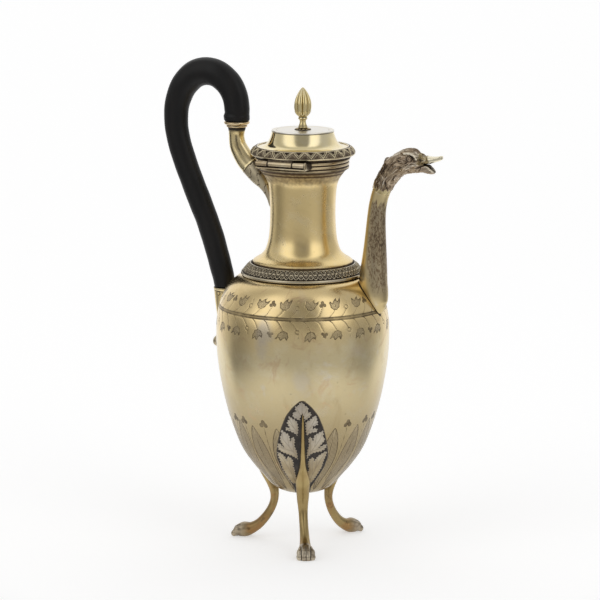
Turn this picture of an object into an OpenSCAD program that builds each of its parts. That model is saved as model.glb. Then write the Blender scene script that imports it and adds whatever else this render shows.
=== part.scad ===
// Footed pear-shaped coffee pot with a hinged lid, a bird-head spout,
// an ebony hook handle and three paw feet. Millimetres, +Z up.
// Origin: on the table, on the axis of the body. The spout points to +X,
// the handle to -X, and the lid's hinge is on the -Y side.

/* [Body] */
// Largest outer radius of the body
body_r = 58.6; // [57:0.1:58.8]
// Thickness of the raised sheet of body and neck
wall = 1.0; // [0.8:0.05:1.2]
// Diameter of one strainer hole behind the spout
strainer_d = 3.0; // [2:0.25:3.5]

/* [Neck and mouth] */
// Outer radius of the mouth under its moulding
mouth_r = 30.4; // [30.2:0.05:30.5]
// Height of the mouth's top face above the table
mouth_z = 266.1; // [266:0.05:266.2]

/* [Lid] */
// Gap between the mouth and the closed lid
lid_gap = 0.3; // [0.2:0.05:0.4]
// Radius of the flat disc on top of the lid
disc_r = 20.9; // [20.5:0.1:21.5]
// Thickness of that disc
disc_t = 0.9; // [0.7:0.1:1.1]

/* [Hinge] */
// Distance from the body's axis to the hinge's axis
hinge_r = 34.4; // [34.4:0.05:34.6]
// Height of the hinge's axis
hinge_z = 265.0; // [264.9:0.05:265]
// Outer radius of a knuckle
knuckle_r = 1.9; // [1.7:0.05:1.9]
// Radius of the hinge pin
pin_r = 0.8; // [0.6:0.05:0.9]
// Length of the whole hinge
hinge_l = 36; // [34:0.5:36]

/* [Finial] */
// Largest radius of the bud
bud_r = 6.0; // [5:0.1:6.4]

/* [Handle] */
// Thickness of the grip across, as a share of its thickness in the plane of the hook
grip_ratio = 0.88; // [0.8:0.01:1]
// Radius of the tenons at the ends of the grip
tenon_r = 3.5; // [3:0.1:3.6]

/* [Legs] */
// Direction of the root of the leg in front
leg_front = -64.5; // [-66:0.5:-60]
// Direction of the root of the leg near the spout
leg_spout = 60; // [58:0.5:62]
// Direction of the root of the leg under the handle
leg_handle = 178.5; // [177:0.5:182]
// Turn of the front paw from its root, in degrees
front_turn = 2.5; // [0:0.5:4]
// Turn of the other two paws from their roots, in degrees
side_turn = 5; // [0:0.5:6]
// Thickness of the acanthus plaques
plaque_t = 1.2; // [1:0.1:1.3]

/* [Hidden] */
$fn = 96;

gilt = "#c9b06a";
worn = "#b9a87c";
dark = "#7d7055";
silver = "#c8c4bc";
ebony = "#1a1715";

// ---- curves through stations ----
function cr(a, b, c, d, t) = 0.5 * ((2 * b) + (c - a) * t + (2 * a - 5 * b + 4 * c - d) * t * t + (3 * b - a - 3 * c + d) * t * t * t);
function at(p, i) = p[max(0, min(len(p) - 1, i))];
function spline(p, n) = concat([for (i = [0:len(p) - 2]) for (k = [0:n - 1]) cr(at(p, i - 1), p[i], p[i + 1], at(p, i + 2), k / n)], [p[len(p) - 1]]);
function tangent(p, i) = let (d = at(p, i + 1) - at(p, i - 1), v = [d[0], d[1]]) v / norm(v);
// a line of points moved sideways by d; positive is to the right of its run
function moved(p, d) = [for (i = [0:len(p) - 1]) let (t = tangent(p, i)) [max(0, p[i][0] + t[1] * d), p[i][1] - t[0] * d]];
function rev(p) = [for (i = [len(p) - 1:-1:0]) p[i]];

// ---- a skin over rings ----
// One ring across a path in the XZ plane; a station is [x, z, half in the plane, half across]
function ring(s, t, m) = [for (j = [0:m - 1]) let (q = 360 * j / m) [s[0] + s[2] * cos(q) * t[1], s[3] * sin(q), s[1] - s[2] * cos(q) * t[0]]];
function part_of(r, a, b) = [for (i = [a:b]) r[i]];
function rings(s, m) = [for (i = [0:len(s) - 1]) ring(s[i], tangent(s, i), m)];
module skin(r, y = 0) {
  m = len(r[0]);
  n = len(r);
  polyhedron(points = [for (a = r) for (p = a) p + [0, y, 0]], faces = concat(
    [[for (j = [0:m - 1]) j]],
    [[for (j = [m - 1:-1:0]) (n - 1) * m + j]],
    [for (i = [0:n - 2]) for (j = [0:m - 1]) [i * m + j, (i + 1) * m + j, (i + 1) * m + (j + 1) % m]],
    [for (i = [0:n - 2]) for (j = [0:m - 1]) [i * m + j, (i + 1) * m + (j + 1) % m, i * m + (j + 1) % m]]));
}

// ---- outlines of the turned pieces ----
k = body_r / 58.6;
base_z = 36.1;
body_st = [[0.01, base_z], [10, 36.8], [16.6, 38.8], [22.1, 42.8], [27.5, 49], [33.6 * k, 56.2], [41.1 * k, 67.3], [47 * k, 81.5],
  [52 * k, 98], [55.6 * k, 115], [57.9 * k, 131], [body_r, 145], [58 * k, 158], [55.3 * k, 169.8], [51 * k, 178], [45.6 * k, 183.7], [39.6, 187.2], [36, 188.6]];
body_out = spline(body_st, 3);
body_top = 189.6;
neck_st = [[34, 195.3], [32.7, 196.8], [28.6, 199.4], [25.8, 202.4], [24.4, 205.8], [23.2, 210.4], [22.5, 216], [22.05, 224],
  [22.0, 232], [22.4, 241], [23.2, 247.4], [24.7, 251.6], [26.7, 254.6], [28.4, 256.8], [mouth_r - 0.2, 258.7]];
neck_out = spline(neck_st, 3);

// the body's outline as a solid of revolution, grown by d
module body_solid(d) rotate_extrude() polygon(concat([[0, base_z - d]], [for (p = moved(body_out, d)) p], [[33.2, body_top + d], [0, body_top + d]]));
module neck_solid(d) rotate_extrude() polygon(concat([[0, 195.4]], moved(neck_out, d), [[mouth_r - 0.2 + d, 266], [0, 266]]));

// ---- pot ----
module body_shell() color(gilt) difference() {
  rotate_extrude() polygon(concat([[0, base_z]], body_out, [[33.2, body_top], [30, body_top], [30, body_top - wall]],
    rev([for (p = moved(body_out, -wall)) if (p[1] < body_top - wall - 0.4) p]), [[0, base_z + wall]]));
  // strainer: rows of round holes under the root of the spout
  for (z = [169:4.2:182]) for (n = [-2:2]) if (abs(n) * 3.9 < (z - 162.5) * 0.62 + 0.5 && abs(n) < 2)
    translate([40, n * 4.1, z]) rotate([0, 90, 0]) cylinder(d = strainer_d, h = 22);
}

module neck_tube() color(gilt) rotate_extrude() polygon(concat([[30.2, body_top], [33.2, body_top], [33.2, 194.2], [34, 194.6]],
  neck_out, [[mouth_r, mouth_z], [mouth_r - wall, mouth_z], [mouth_r - wall, 259.4]],
  rev([for (p = moved(neck_out, -wall)) if (p[1] > 197 && p[1] < 258.6) p]), [[30.2, 197]]));

module shoulder_band() color(dark) difference() {
  rotate_extrude() polygon([[33.25, 187], [33.25, 194.1], [34.3, 194.5], [35.2, 194.6], [36.2, 194.1], [37.6, 192.9], [39.2, 191], [40.4, 189.3], [41, 188.8], [41.6, 188.2], [41.7, 187.5], [41.5, 186.9], [41, 186.5], [40.5, 185]]);
  body_solid(0.05);
}

module mouth_rim() color(gilt) rotate_extrude() polygon([[30.5, 258.6], [30.8, 258.7], [31.1, 259.3], [31.05, 260.2], [30.7, 260.7], [30.7, 261.1],
  [31.1, 261.5], [31.3, 262.2], [31.15, 262.9], [30.85, 263.2], [30.85, 263.6], [31.4, 264.1], [31.7, 264.8], [31.7, 265.3], [31.5, 265.9], [31.3, mouth_z], [30.5, mouth_z]]);

// ---- spout ----
// stations of the tube from its root on the body, then of the head from the feathers to the brow
tube_st = [[56.4, 162.2, 0.9, 0.6], [55.6, 163.8, 4.0, 2.6], [54.6, 166.4, 6.9, 4.6], [53.4, 170, 9.0, 6.7], [52.5, 174.5, 9.9, 8.4], [52.1, 179.5, 10, 9.3], [52, 184.5, 9.6, 9.4],
  [52.3, 192, 9.1, 9.1], [52.9, 201.5, 8.2, 8.2], [53.4, 213.5, 7.2, 7.2], [53.9, 225, 6.4, 6.4], [54.6, 234, 6.0, 5.9], [55.9, 241, 5.9, 5.8]];
head_st = [[57.5, 246.2, 6.0, 5.8], [59.4, 250.6, 6.4, 6.0], [62, 255.4, 6.9, 6.2], [65.6, 260.4, 7.2, 6.5], [69.8, 264.2, 7.6, 6.8], [74.4, 266.7, 8.0, 7.1], [79.2, 268.2, 8.1, 7.3],
  [83.8, 268.5, 7.7, 7.0], [87.4, 267.9, 6.6, 6.1], [90, 267.4, 5.6, 5.2]];
spout_rings = rings(spline(concat(tube_st, head_st), 2), 28);
seam_i = 2 * len(tube_st);
chan_st = [[57.5, 246.2, 4.7, 4.5], [60.0, 251.6, 4.9, 4.6], [63.6, 257.2, 4.8, 4.4], [68.8, 262.0, 4.4, 4.1], [75.5, 264.6, 3.9, 3.8], [83, 265.2, 3.3, 3.5], [91, 265.2, 3.0, 3.2], [97, 265.1, 3.0, 3.2]];

module spout_tube() color(worn) difference() {
  skin(part_of(spout_rings, 0, seam_i));
  skin(rings(spline(concat([[54.6, 160, 0.6, 0.5], [53.8, 166, 4.4, 3.4], [53.2, 170, 7.6, 5.6]],
    [for (s = tube_st) if (s[1] > 171) [s[0], s[1], s[2] - wall, s[3] - wall]], [[58.6, 249, 4.9, 4.7]]), 2), 24));
  body_solid(0.06);
  rotate_extrude() polygon([[30, 184], [41.65, 184], [41.65, 188.4], [35.3, 194.4], [30, 194.4]]);
}

module spout_head() color(worn) difference() {
  union() {
    skin(part_of(spout_rings, seam_i, len(spout_rings) - 1));
    // upper bill
    skin(rings([[86, 269.4, 4.6, 4.9], [90, 269.7, 2.7, 4.4], [94, 270.1, 1.7, 3.6], [98, 270.9, 1.1, 2.6], [101, 271.2, 0.6, 1.3], [101.7, 271.2, 0.3, 0.5]], 20));
    // lower bill
    skin(rings([[84, 263, 2.6, 4.4], [88, 262.3, 1.8, 4.1], [91.4, 261.9, 1.4, 3.5], [94.2, 262, 1.1, 2.6], [95.4, 262.2, 0.5, 1.4]], 20));
    // brows over the eyes
    for (s = [-1, 1]) translate([79.5, s * 5.6, 272.2]) rotate([0, 12, s * -8]) scale(1.7) sphere(r = 1, $fn = 24);
  }
  skin(rings(spline(concat([[55.6, 241, 4.6, 4.5]], chan_st), 2), 24));
}

// ---- handle ----
grip_st = [[-58.7, 170.6, 7.3], [-60.0, 180, 7.9], [-62.2, 188, 8.2], [-65.1, 198, 8.2], [-68.5, 208.5, 8.3], [-72.6, 219.4, 8.3], [-77.2, 230, 8.4], [-81.9, 240.8, 8.4],
  [-86.4, 251.6, 8.4], [-90.5, 262.4, 8.4], [-93.8, 273.2, 8.5], [-95.4, 284, 8.6], [-94.9, 295, 8.9], [-91.8, 304.8, 9.4], [-87.2, 312, 9.7],
  [-80.6, 317.6, 9.8], [-72.3, 320, 9.8], [-63.2, 318.3, 9.7], [-55.6, 312.6, 9.5], [-50.9, 304.8, 9.2], [-49.3, 296.5, 9.1], [-49.3, 291, 9.2], [-49.3, 287.5, 9.3]];
grip_path = spline([for (s = grip_st) [s[0], s[1], s[2], s[2] * grip_ratio]], 3);
up_x = -49.3;
low_x = -60.6;

module handle_grip() color(ebony) difference() {
  union() {
    skin(rings(grip_path, 26));
    translate([up_x, 0, 277]) cylinder(r = tenon_r, h = 14);
    translate([low_x, 0, 163.4]) cylinder(r = tenon_r, h = 14);
  }
  body_solid(0.35);
  difference() {
    translate([-80, -20, 160]) cube([50, 40, 12.75]);
    translate([low_x, 0, 150]) cylinder(r = tenon_r, h = 40);
  }
  translate([up_x, 0, 280]) rotate([90, 0, 0]) cylinder(r = 0.82, h = 30, center = true);
  translate([low_x, 0, 169.2]) rotate([90, 0, 0]) cylinder(r = 0.82, h = 30, center = true);
}

module upper_ferrule() color(gilt) translate([up_x, 0, 0]) rotate_extrude() polygon([[tenon_r + 0.05, 283.2], [6.4, 283.2], [7.1, 283.6], [7.2, 284.2], [6.8, 284.7],
  [7.9, 285.2], [8.7, 285.7], [8.9, 286.4], [8.6, 287], [8, 287.4], [tenon_r + 0.05, 287.4]]);

arm_st = [[-49.3, 284.5, 6.2, 6.2], [-49.3, 283, 6.1, 6.1], [-49.4, 280.6, 5.6, 5.6], [-49.5, 277.4, 5.4, 5.3], [-49.2, 274, 5.6, 5.3], [-48.2, 270, 6.0, 5.5], [-45.7, 265.6, 6.4, 5.8], [-42.6, 261.2, 6.7, 5.9]];
mount_st = [[-38.9, 257.4, 6.8, 6.0], [-35.6, 254.4, 6.9, 6.2], [-32, 250.6, 6.4, 6.2], [-28.3, 246.4, 5.0, 5.6], [-25.5, 241.8, 3.8, 4.7], [-23.7, 237, 2.9, 3.7], [-22.8, 232, 2.1, 2.7], [-22.2, 227.6, 0.8, 1.0]];
arm_rings = rings(spline(concat(arm_st, mount_st), 2), 24);
arm_i = 2 * len(arm_st);
module upper_arm() color(gilt) difference() {
  skin(part_of(arm_rings, 0, arm_i));
  translate([-70, -20, 283.15]) cube([40, 40, 5]);
  translate([up_x, 0, 276.6]) cylinder(r = tenon_r + 0.05, h = 8);
  translate([up_x, 0, 280]) rotate([90, 0, 0]) cylinder(r = 0.8, h = 30, center = true);
}
module upper_leaf_mount() color(worn) difference() {
  skin(part_of(arm_rings, arm_i, len(arm_rings) - 1));
  neck_solid(0.06);
  translate([0, 0, 258.5]) cylinder(r = 31.85, h = 9);
}
module upper_handle_pin() color(gilt) translate([up_x, 0, 280]) rotate([90, 0, 0]) cylinder(r = 0.8, h = 10.9, center = true);

bud_st = [[-65.2, 131.2, 0.4, 0.4], [-65.4, 132, 1.3, 1.3], [-65.5, 133.4, 2.4, 2.4], [-65.1, 135.2, 2.8, 2.7], [-64.1, 137, 2.3, 2.3], [-62.9, 138.4, 1.9, 2.0]];
socket_st = [[-61.9, 140, 2.1, 2.3], [-61.5, 143, 2.7, 3.0], [-61.3, 149.5, 3.2, 3.7], [-61.0, 156, 3.9, 4.6], [-60.6, 162, 5.0, 5.7], [-60.0, 167.5, 6.2, 6.5], [-59.3, 171, 7.3, 6.8], [-58.8, 174, 7.8, 7.0]];
low_rings = rings(spline(concat(bud_st, socket_st), 2), 24);
low_i = 2 * len(bud_st);
module lower_socket() color(gilt) difference() {
  skin(part_of(low_rings, low_i, len(low_rings) - 1));
  body_solid(0.06);
  translate([-80, -20, 172.7]) cube([50, 40, 5]);
  translate([low_x, 0, 163.2]) cylinder(r = tenon_r + 0.05, h = 12);
  translate([low_x, 0, 169.2]) rotate([90, 0, 0]) cylinder(r = 0.8, h = 30, center = true);
}
module lower_handle_pin() color(worn) translate([low_x, 0, 169.2]) rotate([90, 0, 0]) cylinder(r = 0.8, h = 13.8, center = true);
module lower_bud() color(worn) skin(part_of(low_rings, 0, low_i));

// ---- legs ----
// a leaf outline as half widths over height, mirrored
leaf_half = [[5, 39.2], [5.8, 44.5], [9.8, 52], [14.6, 61], [17.2, 69], [17.2, 74], [16.2, 82], [14.2, 91], [10.9, 100], [5.8, 107], [1, 110.8]];
module acanthus(a) color(silver) rotate([0, 0, a]) difference() {
  intersection() {
    body_solid(plaque_t);
    rotate([90, 0, 90]) linear_extrude(height = 70) polygon(concat(leaf_half, rev([for (p = leaf_half) [-p[0], p[1]]])));
  }
  body_solid(0.05);
}
leg_st = [[48.6, 1.6, 2.6, 6.0], [46.8, 3.3, 4.4, 6.8], [44, 4.2, 5.1, 6.5], [40.6, 5.0, 4.7, 5.2], [36.8, 6.6, 3.9, 4.0], [32.4, 9.6, 3.4, 3.4], [28.2, 14.2, 3.1, 3.1], [24.6, 19.6, 2.9, 3.0],
  [22.3, 25, 2.8, 3.1], [21.5, 30, 2.9, 3.4], [22.2, 35.5, 3.3, 4.0], [24.8, 41.4, 3.9, 4.2], [29.2, 47.8, 3.6, 3.4], [34.4, 55.2, 3.0, 2.5], [40.2, 64.2, 2.6, 1.9], [45, 74, 2.4, 1.4], [49, 85, 2.1, 1.0], [52.4, 97, 1.6, 0.7], [54, 104, 1.0, 0.4]];
// each leg is set with its paw turned a little further round the axis than its root
function paw_turn(z) = let (w = max(0, min(1, (36 - z) / 30))) w * w * (3 - 2 * w);
function leg_rings(s, m, tw) = [for (i = [0:len(s) - 1]) [for (p = ring(s[i], tangent(s, i), m)) p + [0, s[i][0] * tan(tw * paw_turn(s[i][1])), 0]]];
module leg(a, tw) color(gilt) rotate([0, 0, a]) difference() {
  union() {
    skin(leg_rings(spline(leg_st, 2), 20, tw));
    // toes
    for (q = [-4.7, -1.6, 1.6, 4.7]) skin(rings([[44, 4.2, 2.2, 1.2], [46, 4.6, 3.4, 1.9], [48.4 - abs(q) * 0.2, 3.6, 3.4, 2.0], [50.4 - abs(q) * 0.25, 2, 2.4, 1.6], [51.4 - abs(q) * 0.3, 0.9, 1.1, 0.8]], 12), q + 48 * tan(tw));
  }
  body_solid(plaque_t + 0.05);
  translate([0, -20, -10]) cube([80, 40, 10]);
}

module acanthus_front() acanthus(leg_front - 0.5);
module acanthus_spout_side() acanthus(leg_spout);
module acanthus_handle_side() acanthus(leg_handle);
module leg_front_paw() leg(leg_front, front_turn);
module leg_spout_paw() leg(leg_spout, side_turn);
module leg_handle_paw() leg(leg_handle, side_turn);

// ---- hinge ----
kn = hinge_l / 4;
module hinge_body_knuckles() color(gilt) difference() {
  for (s = [-1, 1]) translate([s * (kn + hinge_l / 2) / 2, 0, 0]) {
    translate([0, -hinge_r, hinge_z]) rotate([0, 90, 0]) cylinder(r = knuckle_r, h = kn - 0.3, center = true);
    translate([-kn / 2 + 0.15, -hinge_r, hinge_z - knuckle_r]) cube([kn - 0.3, 12, 1.7]);
  }
  translate([0, 0, 250]) cylinder(r = 31.75, h = 30);
  translate([0, -hinge_r, hinge_z]) rotate([0, 90, 0]) cylinder(r = pin_r, h = 60, center = true);
}
module hinge_pin() color(gilt) translate([0, -hinge_r, hinge_z]) rotate([0, 90, 0]) cylinder(r = pin_r, h = hinge_l + 0.6, center = true);
module hinge_lid_knuckle() color(gilt) difference() {
  union() {
    translate([0, -hinge_r, hinge_z]) rotate([0, 90, 0]) cylinder(r = knuckle_r, h = 2 * kn - 0.3, center = true);
    translate([-kn + 0.15, -hinge_r - 0.6, hinge_z + 0.6]) cube([2 * kn - 0.3, 2.5, 2.6]);
  }
  lid_band_turned(0.03);
  translate([0, -hinge_r, hinge_z]) rotate([0, 90, 0]) cylinder(r = pin_r + 0.05, h = 60, center = true);
}

// ---- lid ----
lid_z = mouth_z + lid_gap;
module lid_band_turned(d) rotate_extrude() polygon([[31.05 - d, lid_z - d], [32.5, lid_z - d], [33.2 + d, 266.9 - d], [33.4 + d, 267.5 - d], [34.6, 267.7 - d], [35.1 + d, 268.2 - d], [35.3 + d, 269],
  [35.1 + d, 269.9], [34.4 + d, 271.2 + d], [33.3 + d, 272.4 + d], [32, 273.3 + d], [31, 273.6 + d], [30.3, 273.5 + d], [30.1, 273.2], [30.1, 272.99], [31.05 - d, 272.99]]);
module lid_band() color(dark) lid_band_turned(0);
module lid_skirt() color(gilt) rotate_extrude() polygon([[30.1, lid_z], [31, lid_z], [31, 272.3], [30.1, 272.3]]);
cover_out = spline([[30, 272.98], [28.6, 273.2], [26.3, 273.8], [24.2, 275.2], [22.7, 277.4], [21.5, 280.4], [20.7, 283.4]], 4);
cover_in = spline([[28.4, 272.4], [25.8, 273], [23.4, 274.5], [21.7, 277.1], [20.6, 280.3], [19.8, 283.4]], 4);
module lid_cover() color(gilt) rotate_extrude() polygon(concat([[31, 272.33], [31, 272.95]], cover_out, rev(cover_in), [[30, 272.33]]));
module lid_bezel() color(gilt) rotate_extrude() polygon([[28.2, 261.8], [28.9, 261.6], [29.05, 261.9], [29.05, lid_z], [30.05, lid_z], [30.05, lid_z + 1.2], [28.2, lid_z + 1.2]]);
module lid_top_plate() color(silver) difference() {
  rotate_extrude() polygon([[0, 283.4], [disc_r, 283.4], [disc_r + 0.15, 283.4 + disc_t / 2], [disc_r, 283.4 + disc_t], [17.9, 283.4 + disc_t], [17.75, 283.4 + disc_t - 0.2], [17.45, 283.4 + disc_t - 0.2], [17.3, 283.4 + disc_t], [0, 283.4 + disc_t]]);
  translate([0, 0, 280]) cylinder(r = 1.05, h = 8);
}
top_z = 283.4 + disc_t;
module finial_rosette() color(dark) difference() {
  rotate_extrude() polygon([[0, top_z], [5.4, top_z], [5.6, top_z + 0.3], [4.8, top_z + 0.8], [3.2, top_z + 0.9], [2.8, top_z + 1.1], [0, top_z + 1.1]]);
  translate([0, 0, 280]) cylinder(r = 1.05, h = 8);
}
fin_z = top_z + 1.1;
module finial() color(gilt) difference() {
  rotate_extrude() polygon(concat([[0, fin_z]], spline([[2.9, fin_z], [3.2, 286], [2.8, 287], [2.1, 288.4], [1.8, 289.8], [2.2, 290.9], [3.1, 291.6], [3.1, 292.3], [2.6, 292.9], [3.6, 293.8],
    [bud_r * 0.84, 295.6], [bud_r * 0.98, 298], [bud_r, 300.3], [bud_r * 0.94, 303.2], [bud_r * 0.77, 306.4], [bud_r * 0.52, 309.2], [bud_r * 0.25, 311.4]], 2), [[0, 312.7]]));
  translate([0, 0, 280]) cylinder(r = 1.0, h = 8.6);
}
module finial_stud() color(gilt) translate([0, 0, 279]) cylinder(r = 1.0, h = 9.4);
module finial_nut() color(gilt) difference() {
  translate([0, 0, 281]) cylinder(r = 3.4, h = 2.35, $fn = 6);
  translate([0, 0, 280]) cylinder(r = 1.02, h = 5);
}

body_shell();
neck_tube();
shoulder_band();
mouth_rim();
spout_tube();
spout_head();
handle_grip();
upper_ferrule();
upper_arm();
upper_leaf_mount();
upper_handle_pin();
lower_socket();
lower_handle_pin();
lower_bud();
acanthus_front();
acanthus_spout_side();
acanthus_handle_side();
leg_front_paw();
leg_spout_paw();
leg_handle_paw();
hinge_body_knuckles();
hinge_pin();
hinge_lid_knuckle();
lid_skirt();
lid_cover();
lid_band();
lid_bezel();
lid_top_plate();
finial();
finial_rosette();
finial_stud();
finial_nut();
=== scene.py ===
import bpy, math
import numpy as np
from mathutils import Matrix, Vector


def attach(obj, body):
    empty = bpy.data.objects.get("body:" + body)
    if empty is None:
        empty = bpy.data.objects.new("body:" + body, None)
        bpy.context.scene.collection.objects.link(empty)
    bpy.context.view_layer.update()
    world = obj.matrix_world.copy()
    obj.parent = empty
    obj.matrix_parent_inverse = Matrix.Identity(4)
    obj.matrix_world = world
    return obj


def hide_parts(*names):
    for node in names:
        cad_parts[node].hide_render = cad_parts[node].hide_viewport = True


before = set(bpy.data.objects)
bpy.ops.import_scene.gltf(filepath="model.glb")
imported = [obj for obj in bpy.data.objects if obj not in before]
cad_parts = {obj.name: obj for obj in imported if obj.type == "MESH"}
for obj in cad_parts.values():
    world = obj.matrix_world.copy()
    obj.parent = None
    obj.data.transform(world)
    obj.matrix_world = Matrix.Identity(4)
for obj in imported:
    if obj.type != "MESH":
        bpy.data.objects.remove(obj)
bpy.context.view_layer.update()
MM = 0.001
TAU = 2 * math.pi

# ------------------------------------------------------------------ camera, stage, light
AZ, EL = math.radians(25.5), math.radians(10.7)


def make_camera():
    right = np.array([math.cos(AZ), math.sin(AZ), 0])
    away = np.array([math.sin(AZ) * math.cos(EL), -math.cos(AZ) * math.cos(EL), math.sin(EL)])
    target = np.array([0, 0, 0.1684]) - 0.00189 * right
    cam = bpy.data.cameras.new("camera")
    cam.lens, cam.sensor_width = 186, 36
    ob = bpy.data.objects.new("camera", cam)
    bpy.context.scene.collection.objects.link(ob)
    ob.location = target + away * 2.0925
    ob.rotation_mode = "QUATERNION"
    ob.rotation_quaternion = (-Vector(away)).to_track_quat("-Z", "Y")
    cam.clip_start, cam.clip_end = 0.05, 60
    bpy.context.scene.camera = ob


def softbox(name, az, el, dist, size, power, target=(0, 0, 0.2), color=(1, 1, 1)):
    """A rectangular lamp; az is measured as the camera's is."""
    a, e = math.radians(az), math.radians(el)
    d = Vector((math.sin(a) * math.cos(e), -math.cos(a) * math.cos(e), math.sin(e)))
    lamp = bpy.data.lights.new(name, "AREA")
    lamp.shape, lamp.size, lamp.size_y = "RECTANGLE", size[0], size[1]
    lamp.energy, lamp.color = power, color
    ob = bpy.data.objects.new(name, lamp)
    bpy.context.scene.collection.objects.link(ob)
    ob.location = Vector(target) + d * dist
    ob.rotation_mode = "QUATERNION"
    ob.rotation_quaternion = d.to_track_quat("Z", "Y")
    return ob


def around(g, x, y):
    """azimuth of a direction as 0..1, 0.5 towards the camera"""
    f = g.add(g.mul(x, math.sin(AZ)), g.mul(y, -math.cos(AZ)))
    s = g.add(g.mul(x, math.cos(AZ)), g.mul(y, math.sin(AZ)))
    return g.madd(g.math("ARCTAN2", s, f), 1 / TAU, 0.5)


def make_stage():
    """A table painted with light as well as colour: its colour and glow are even and bright round the pot and behind
    it, then painted down to grey beyond, standing for where the room is dim.
    """
    s = 12.0
    me = bpy.data.meshes.new("floor")
    me.from_pydata([(-s, -s, 0), (s, -s, 0), (s, s, 0), (-s, s, 0)], [], [(0, 1, 2, 3)])
    ob = bpy.data.objects.new("floor", me)
    bpy.context.scene.collection.objects.link(ob)
    m, g, b = new_material("floor_painted_light")
    x, y, z = g.split(g.coords())
    r = g.math("SQRT", g.add(g.mul(x, x), g.mul(y, y)))
    az = around(g, x, y)
    near = g.curve(az, FLOOR_NEAR)
    out = g.step(g.math("DIVIDE", g.sub(r, near), g.curve(az, FLOOR_FADE)), 0.0, 1.0)
    level = g.lerp(out, 1.0, g.curve(az, FLOOR_ROUND))
    # painted light and shade: the floor's colour and its glow both follow the painted level
    for sock, k in (("Base Color", FLOOR_ALBEDO), ("Emission Color", 1.0)):
        c = g.node("ShaderNodeCombineColor")
        for i in range(3):
            g.put(c.inputs[i], g.mul(level, k))
        g.put(b.inputs[sock], c.outputs[0])
    b.inputs["Roughness"].default_value = 0.5
    b.inputs["Specular IOR Level"].default_value = 0.0
    b.inputs["Emission Strength"].default_value = FLOOR_GLOW
    me.materials.append(m)


def make_world():
    """A pale room: light by direction only, brighter behind the pot and overhead than where the camera stands."""
    w = bpy.data.worlds.new("room")
    bpy.context.scene.world = w
    w.use_nodes = True
    t = w.node_tree
    t.nodes.clear()
    g = Graph(t)
    x, y, z = g.split(g.node("ShaderNodeTexCoord").outputs["Generated"])
    az = around(g, x, y)
    level = g.lerp(g.step(z, 0.02, 0.20), g.curve(az, WORLD_ROUND), g.curve(az, WORLD_HIGH))
    level = g.lerp(g.step(z, 0.80, 0.99), level, WORLD_TOP)
    bg = g.node("ShaderNodeBackground")
    col = g.node("ShaderNodeCombineColor")
    for k in (0, 1, 2):
        g.put(col.inputs[k], g.mul(level, WORLD_TINT[k]))
    t.links.new(col.outputs[0], bg.inputs["Color"])
    out = g.node("ShaderNodeOutputWorld")
    t.links.new(bg.outputs[0], out.inputs["Surface"])


# light levels by azimuth (0 = straight behind the pot, 0.5 = towards the camera)
WORLD_ROUND = [(0.0, 0.95), (0.08, 0.92), (0.14, 0.62), (0.185, 0.50), (0.233, 0.26), (0.29, 0.33), (0.34, 0.44), (0.5, 0.46),
               (0.62, 0.52), (0.69, 0.40), (0.736, 0.33), (0.79, 0.44), (0.86, 0.60), (0.92, 0.85), (1.0, 0.95)]
FLOOR_ROUND = [(0.0, 1.0), (0.10, 0.98), (0.15, 0.66), (0.19, 0.50), (0.233, 0.26), (0.29, 0.33), (0.34, 0.44), (0.5, 0.46),
               (0.62, 0.50), (0.69, 0.40), (0.736, 0.33), (0.79, 0.46), (0.85, 0.64), (0.90, 0.97), (1.0, 1.0)]
# in metres: how far out the floor stays bright, and over what length it then fades
FLOOR_NEAR = [(0.0, 0.55), (0.13, 0.42), (0.18, 0.28), (0.233, 0.20), (0.30, 0.205), (0.40, 0.215), (0.5, 0.17), (0.60, 0.215), (0.70, 0.205), (0.755, 0.20), (0.82, 0.28), (0.87, 0.42), (1.0, 0.55)]
FLOOR_FADE = [(0.0, 0.9), (0.18, 0.40), (0.233, 0.22), (0.30, 0.22), (0.40, 0.24), (0.5, 0.24), (0.60, 0.24), (0.70, 0.22), (0.755, 0.22), (0.82, 0.40), (1.0, 0.9)]
# two tall lights stand in front, left and right, with the camera's dim gap between them
WORLD_HIGH = [(0.0, 1.0), (0.08, 0.95), (0.16, 0.70), (0.22, 0.50), (0.27, 0.62), (0.30, 1.00), (0.345, 1.15), (0.39, 1.05), (0.425, 0.42), (0.46, 0.30), (0.5, 0.30), (0.54, 0.30),
              (0.565, 0.42), (0.60, 1.20), (0.64, 1.15), (0.68, 0.85), (0.72, 0.50), (0.79, 0.55), (0.86, 0.80), (0.93, 0.95), (1.0, 1.0)]
WORLD_TOP = 0.62
WORLD_TINT = (1.0, 1.0, 1.0)
FLOOR_ALBEDO = 0.74
FLOOR_GLOW = 0.455


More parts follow.
